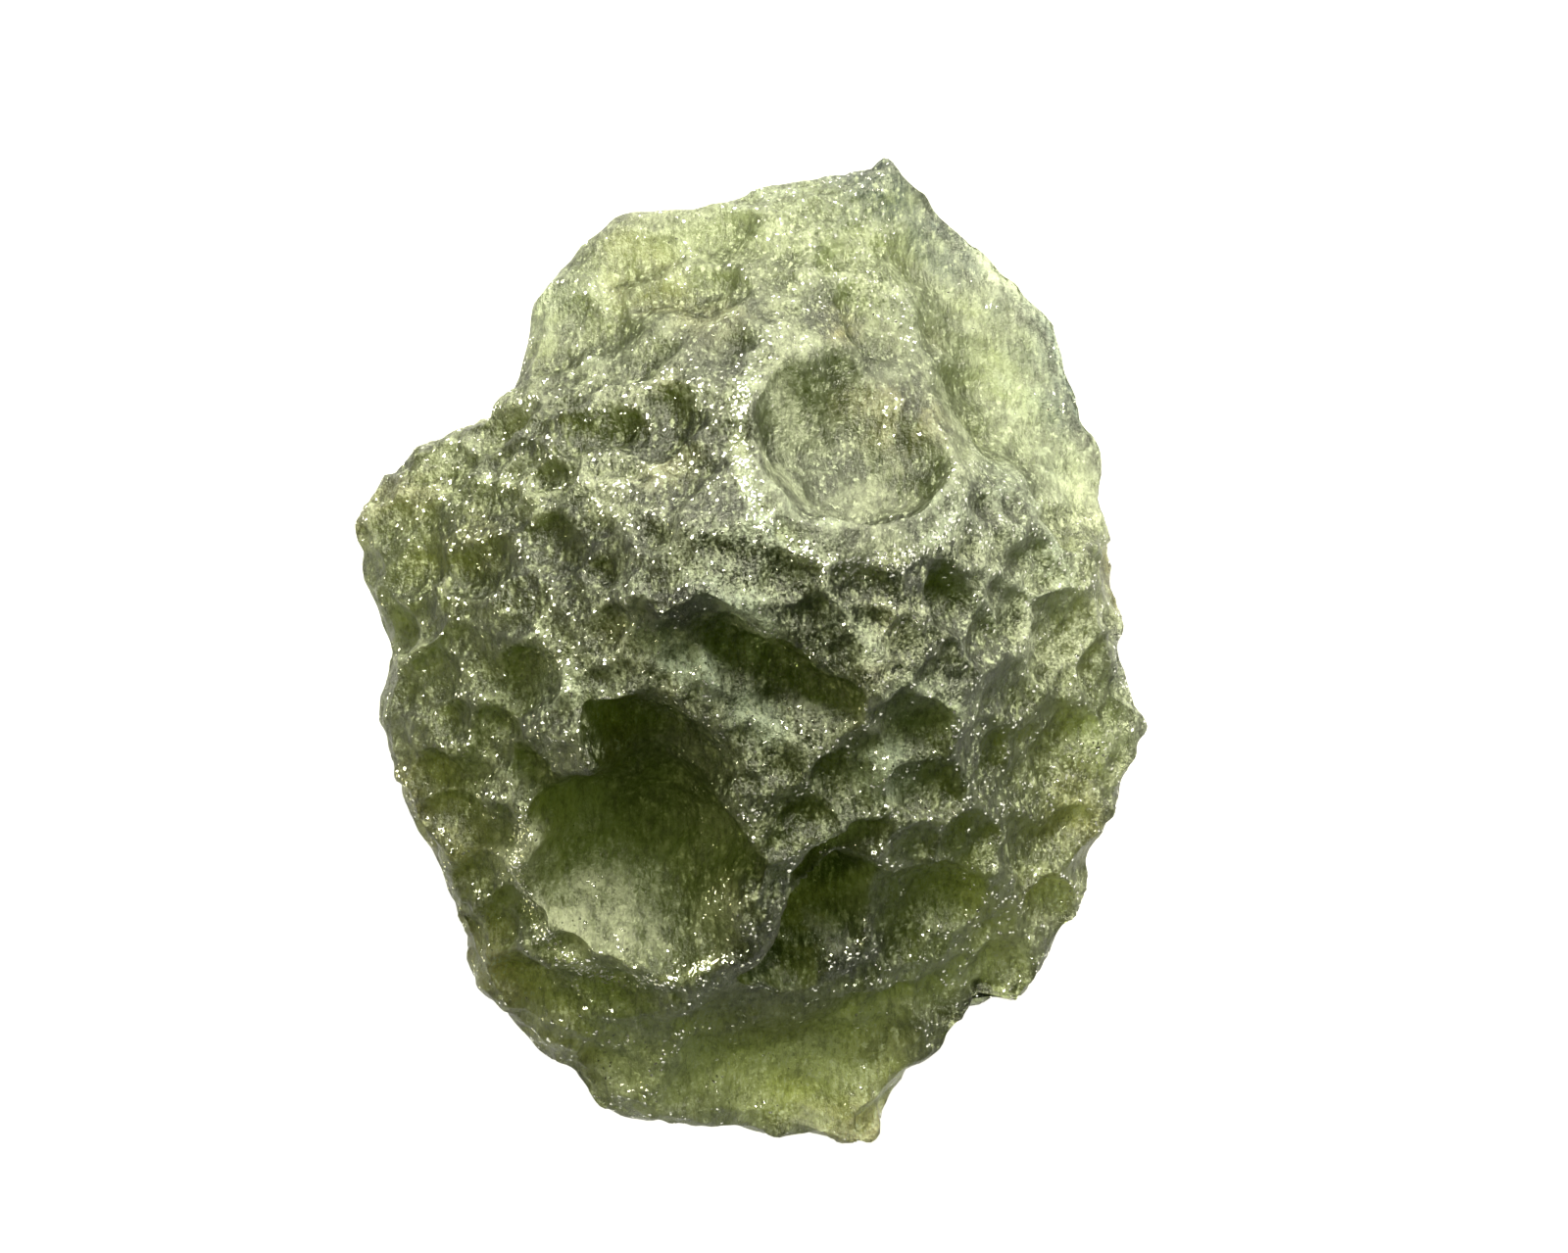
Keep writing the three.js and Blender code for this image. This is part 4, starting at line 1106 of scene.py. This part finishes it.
class GlassBench(Bench):
    """Lays out the patterns of the glass finish and what is mixed from them."""

    def __init__(self, finish: GlassFinish) -> None:
        """Lays out the patterns in the sizes that the finish gives."""
        super().__init__(finish.name)
        self.finish = finish
        where = self.add("TexCoord").outputs["Object"]
        drawn = self.vector("MULTIPLY", where, finish.streak)
        self.crest = self.read("crest")
        self.swell = self.read("swell")
        self.calm = self.read("calm")
        self.rough = self.ramp(self.calm, 0.0, 1.0, 1.0, 0.3)
        self.grain = self.noise(where, finish.grain_size, 4.0, 0.7)
        self.cloud = self.noise(where, finish.cloud_size, 4.0, 0.6)
        self.drift = self.noise(where, finish.drift_size, 2.0, 0.5)
        self.mottle = self.noise(drawn, finish.mottle_size, 5.0, 0.75)
        self.streaks = self.noise(drawn, finish.streak_size, 3.0, 0.6)
        self.fleck = self.cells(where, finish.fleck_size)
        self.chance = self.add("SeparateColor", color=self.fleck).outputs
        self.grit = self.add("SeparateColor", color=self.cells(where, finish.grit_size)).outputs[2]

    def hollows(self) -> Socket:
        """Returns how far down in a hollow a place lies, less on calm skin and bright grains: the mask of
        the painted shade in the hollows.
        """
        depth = self.math("MAXIMUM", self.ramp(self.swell, 0.15, 0.5, 0.8, 0.0),
                          self.ramp(self.crest, 0.1, 0.45, 0.6, 0.0))
        depth = self.math("MULTIPLY", depth, self.ramp(self.calm, 0.3, 0.7, 1.0, 0.3))
        return self.math("MULTIPLY", depth, self.ramp(self.grain, 0.42, 0.6, 1.0, 0.35))

    def crumbs(self) -> Socket:
        """Returns the fine crumbs of frost, which lie everywhere, in the hollows too."""
        luck = self.math("ADD", self.grit, self.ramp(self.mottle, 0.42, 0.6, -0.16, 0.06))
        crumb = self.math("GREATER_THAN", luck, self.finish.crumb_luck)
        return self.math("MAXIMUM", crumb, self.ramp(self.mottle, 0.5, 0.64, 0.0, 0.6))

    def glints(self) -> Socket:
        """Returns the few grains that glint, most of them on the cups' lit rims and the crests."""
        luck = self.math("ADD", self.chance[0], self.math("MULTIPLY", self.read("rim"), 0.25))
        luck = self.math("ADD", luck, self.ramp(self.cloud, 0.4, 0.65, -0.07, 0.01))
        luck = self.math("ADD", luck, self.ramp(self.crest, 0.35, 0.8, -0.03, 0.03))
        luck = self.math("SUBTRACT", luck, self.math("MULTIPLY", self.calm, 0.04))
        return self.math("GREATER_THAN", luck, self.finish.glint_luck)

    def frosting(self, hollow: Socket, crumb: Socket) -> Socket:
        """Lays frost on the crests, adds frost as painted light on the cups' lit rims and the pale and
        sheen patches, and thins it out in the hollows and the painted shade.

        Args:
            hollow: How far down in a hollow a place lies.
            crumb: The fine crumbs of frost.

        Returns:
            How frosted the skin is.
        """
        frost = self.math("ADD", self.math("MULTIPLY", self.crest, 0.12), 0.22)
        frost = self.math("ADD", frost, self.math("MULTIPLY", self.swell, 0.1))
        frost = self.math("ADD", frost, self.ramp(self.cloud, 0.35, 0.65, -0.25, 0.25))
        speckle = self.math("ADD", self.ramp(self.grain, 0.35, 0.65, -0.15, 0.15),
                            self.ramp(self.chance[1], 0.0, 1.0, -0.17, 0.17))
        frost = self.math("ADD", frost, self.math("MULTIPLY", speckle, self.rough))
        # Painted light: extra frost whitens the cups' lit rims, the pale patches and the sheen patches.
        worn = self.math("MAXIMUM", self.read("rim"), self.read("pale"))
        worn = self.math("MAXIMUM", worn, self.read("teal"))
        frost = self.math("ADD", frost, self.math("MULTIPLY", worn, self.finish.highlight_frost))
        # The olive patches are clearer skin of the stone's own; the darkest patches and the hollows lose
        # frost as part of their painted shade.
        bare_and_shaded = self.math("MAXIMUM", self.read("olive"), self.read("deep"))
        bare_and_shaded = self.math("MAXIMUM", bare_and_shaded, self.math("MULTIPLY", hollow, 0.5))
        thinned = self.math("MULTIPLY", bare_and_shaded, self.finish.bare_frost)
        frost = self.math("SUBTRACT", frost, thinned, clamp=True)
        return self.math("MAXIMUM", frost, crumb)

    def painted(self, frost: Socket, hollow: Socket, crumb: Socket) -> Socket:
        """Mixes the colour of the skin, apart from its glints, with its painted shade, light and sheen.

        Args:
            frost: How frosted the skin is.
            hollow: How far down in a hollow a place lies, which is darkened as painted shade.
            crumb: The fine crumbs of frost.

        Returns:
            The colour.
        """
        finish = self.finish
        tint = self.mix(self.ramp(self.drift, 0.56, 0.68), finish.clear, finish.brown)
        film = self.mix(self.ramp(self.drift, 0.38, 0.55), finish.teal, finish.frost)
        colour = self.mix(frost, tint, film)
        # Painted shade: the hollows are darkened towards a dark olive.
        colour = self.mix(hollow, colour, finish.pocket_shade)
        patchy = self.ramp(self.cloud, 0.3, 0.55, 0.45, 1.0)
        # Brown and olive are the stone's own colours; the darkest and the bluish patches are painted
        # shade, the pale ones painted light and the grey-green ones painted sheen.
        for name, paint in (("brown", finish.brown), ("blue", finish.blue), ("olive", finish.olive),
                            ("deep", finish.deep), ("teal", finish.teal), ("pale", finish.pale)):
            colour = self.mix(self.math("MULTIPLY", self.read(name), patchy), colour, paint)
        colour = self.vector("SCALE", colour, self.ramp(self.mottle, 0.38, 0.52, 0.45, 1.0))
        return self.mix(self.math("MULTIPLY", crumb, 0.7), colour, finish.frost)

    def grained(self, glint: Socket) -> Socket:
        """Bumps the skin and tilts each of its grains its own way.

        Args:
            glint: The grains that glint, which lean the most.

        Returns:
            The direction of the skin.
        """
        height = self.math("ADD", self.math("MULTIPLY", self.grain, 0.7), self.streaks)
        bump = self.add("Bump", strength=1.0, distance=self.finish.bump_height, height=height)
        lean = self.math("MAXIMUM", self.math("MULTIPLY", self.rough, self.finish.grain_lean),
                         self.math("MULTIPLY", glint, self.finish.glint_lean))
        tilt = self.vector("SCALE", self.vector("SUBTRACT", self.fleck, (0.5, 0.5, 0.5)), lean)
        tilted = self.vector("ADD", bump.outputs[0], tilt)
        return self.add("VectorMath", {"operation": "NORMALIZE"}, in_0=tilted).outputs[0]


@dataclass(frozen=True)
class PaperFinish:
    """The plain pale surface that the stone lies on."""

    name: str = "pale_floor"
    colour: Colour = (0.25, 0.25, 0.24, 1.0)
    light: Colour = (0.95, 0.94, 0.90, 1.0)
    roughness: float = 0.7
    glow: float = 1.08

    def make(self) -> bpy.types.Material:
        """Returns the material."""
        bench = Bench(self.name)
        skin = bench.add("BsdfPrincipled", base_color=self.colour, roughness=self.roughness,
                         emission_color=self.light, emission_strength=self.glow)
        bench.tree.links.new(skin.outputs[0], bench.output.inputs["Surface"])
        return bench.material


@dataclass(frozen=True)
class Softbox:
    """A broad square light that faces the stone, in metres and watts."""

    name: str
    place: tuple[float, float, float]
    side: float
    power: float
    colour: tuple[float, float, float]

    def hang(self) -> None:
        """Adds the light to the scene."""
        lamp = bpy.data.lights.new(self.name, "AREA")
        lamp.shape = "SQUARE"
        lamp.size = self.side
        lamp.energy = self.power
        lamp.color = self.colour
        light = bpy.data.objects.new(self.name, lamp)
        light.location = self.place
        light.rotation_euler = (-Vector(self.place)).to_track_quat("-Z", "Y").to_euler()
        bpy.context.scene.collection.objects.link(light)


@dataclass(frozen=True)
class Studio:
    """The camera, the floor and the light, in metres."""

    picture_width: float = 37.17 * MM
    looked_at: tuple[float, float, float] = (0.70 * MM, 0.54 * MM, 5.0 * MM)
    lens: float = 85.0
    sensor: float = 36.0
    floor_side: float = 0.6
    floor_gap: float = 0.01 * MM
    key: Softbox = Softbox("key", (0.045, 0.155, 0.115), 0.12, 2.2, (1.0, 1.0, 0.72))
    fill: Softbox = Softbox("fill", (-0.16, -0.05, 0.10), 0.16, 0.25, (1.0, 1.0, 0.42))
    sky: Colour = (1.0, 1.0, 0.55, 1.0)
    sky_strength: float = 0.06

    def camera(self) -> None:
        """Stands the camera straight above the stone, with the photo's frame."""
        lens = bpy.data.cameras.new("camera")
        lens.lens = self.lens
        lens.sensor_width = self.sensor
        lens.clip_start = 0.001
        camera = bpy.data.objects.new("camera", lens)
        distance = self.picture_width * self.lens / self.sensor
        camera.location = Vector(self.looked_at) + Vector((0.0, 0.0, distance))
        bpy.context.scene.collection.objects.link(camera)
        bpy.context.scene.camera = camera

    def floor(self) -> None:
        """Lays the floor a hair's breadth under the stone."""
        form = bmesh.new()
        bmesh.ops.create_grid(form, x_segments=1, y_segments=1, size=self.floor_side / 2)
        bmesh.ops.translate(form, verts=form.verts[:], vec=(0.0, 0.0, -self.floor_gap))
        mesh = bpy.data.meshes.new("floor")
        form.to_mesh(mesh)
        form.free()
        mesh.materials.append(PaperFinish().make())
        floor = bpy.data.objects.new("floor", mesh)
        bpy.context.scene.collection.objects.link(floor)

    def lights(self) -> None:
        """Hangs a light beyond the pointed end and a weak one at the left, under a pale sky."""
        self.key.hang()
        self.fill.hang()
        world = bpy.data.worlds.new("sky")
        world.use_nodes = True
        background = world.node_tree.nodes["Background"]
        background.inputs["Color"].default_value = self.sky
        background.inputs["Strength"].default_value = self.sky_strength
        bpy.context.scene.world = world

    def build(self) -> None:
        """Sets up everything round the stone."""
        self.camera()
        self.floor()
        self.lights()
        bpy.context.scene.view_settings.view_transform = "Standard"


def main() -> None:
    """Builds the studio and the stone."""
    logging.basicConfig(level=logging.INFO, format="%(message)s")
    Studio().build()
    LOG.info("studio: camera, floor and light")
    stone = Stone(Etching(Blank()), Mesh()).build()
    stone.data.materials.append(GlassFinish().make())
    LOG.info("stone: %d points, %d faces", len(stone.data.vertices), len(stone.data.polygons))


if __name__ == "__main__":
    main()
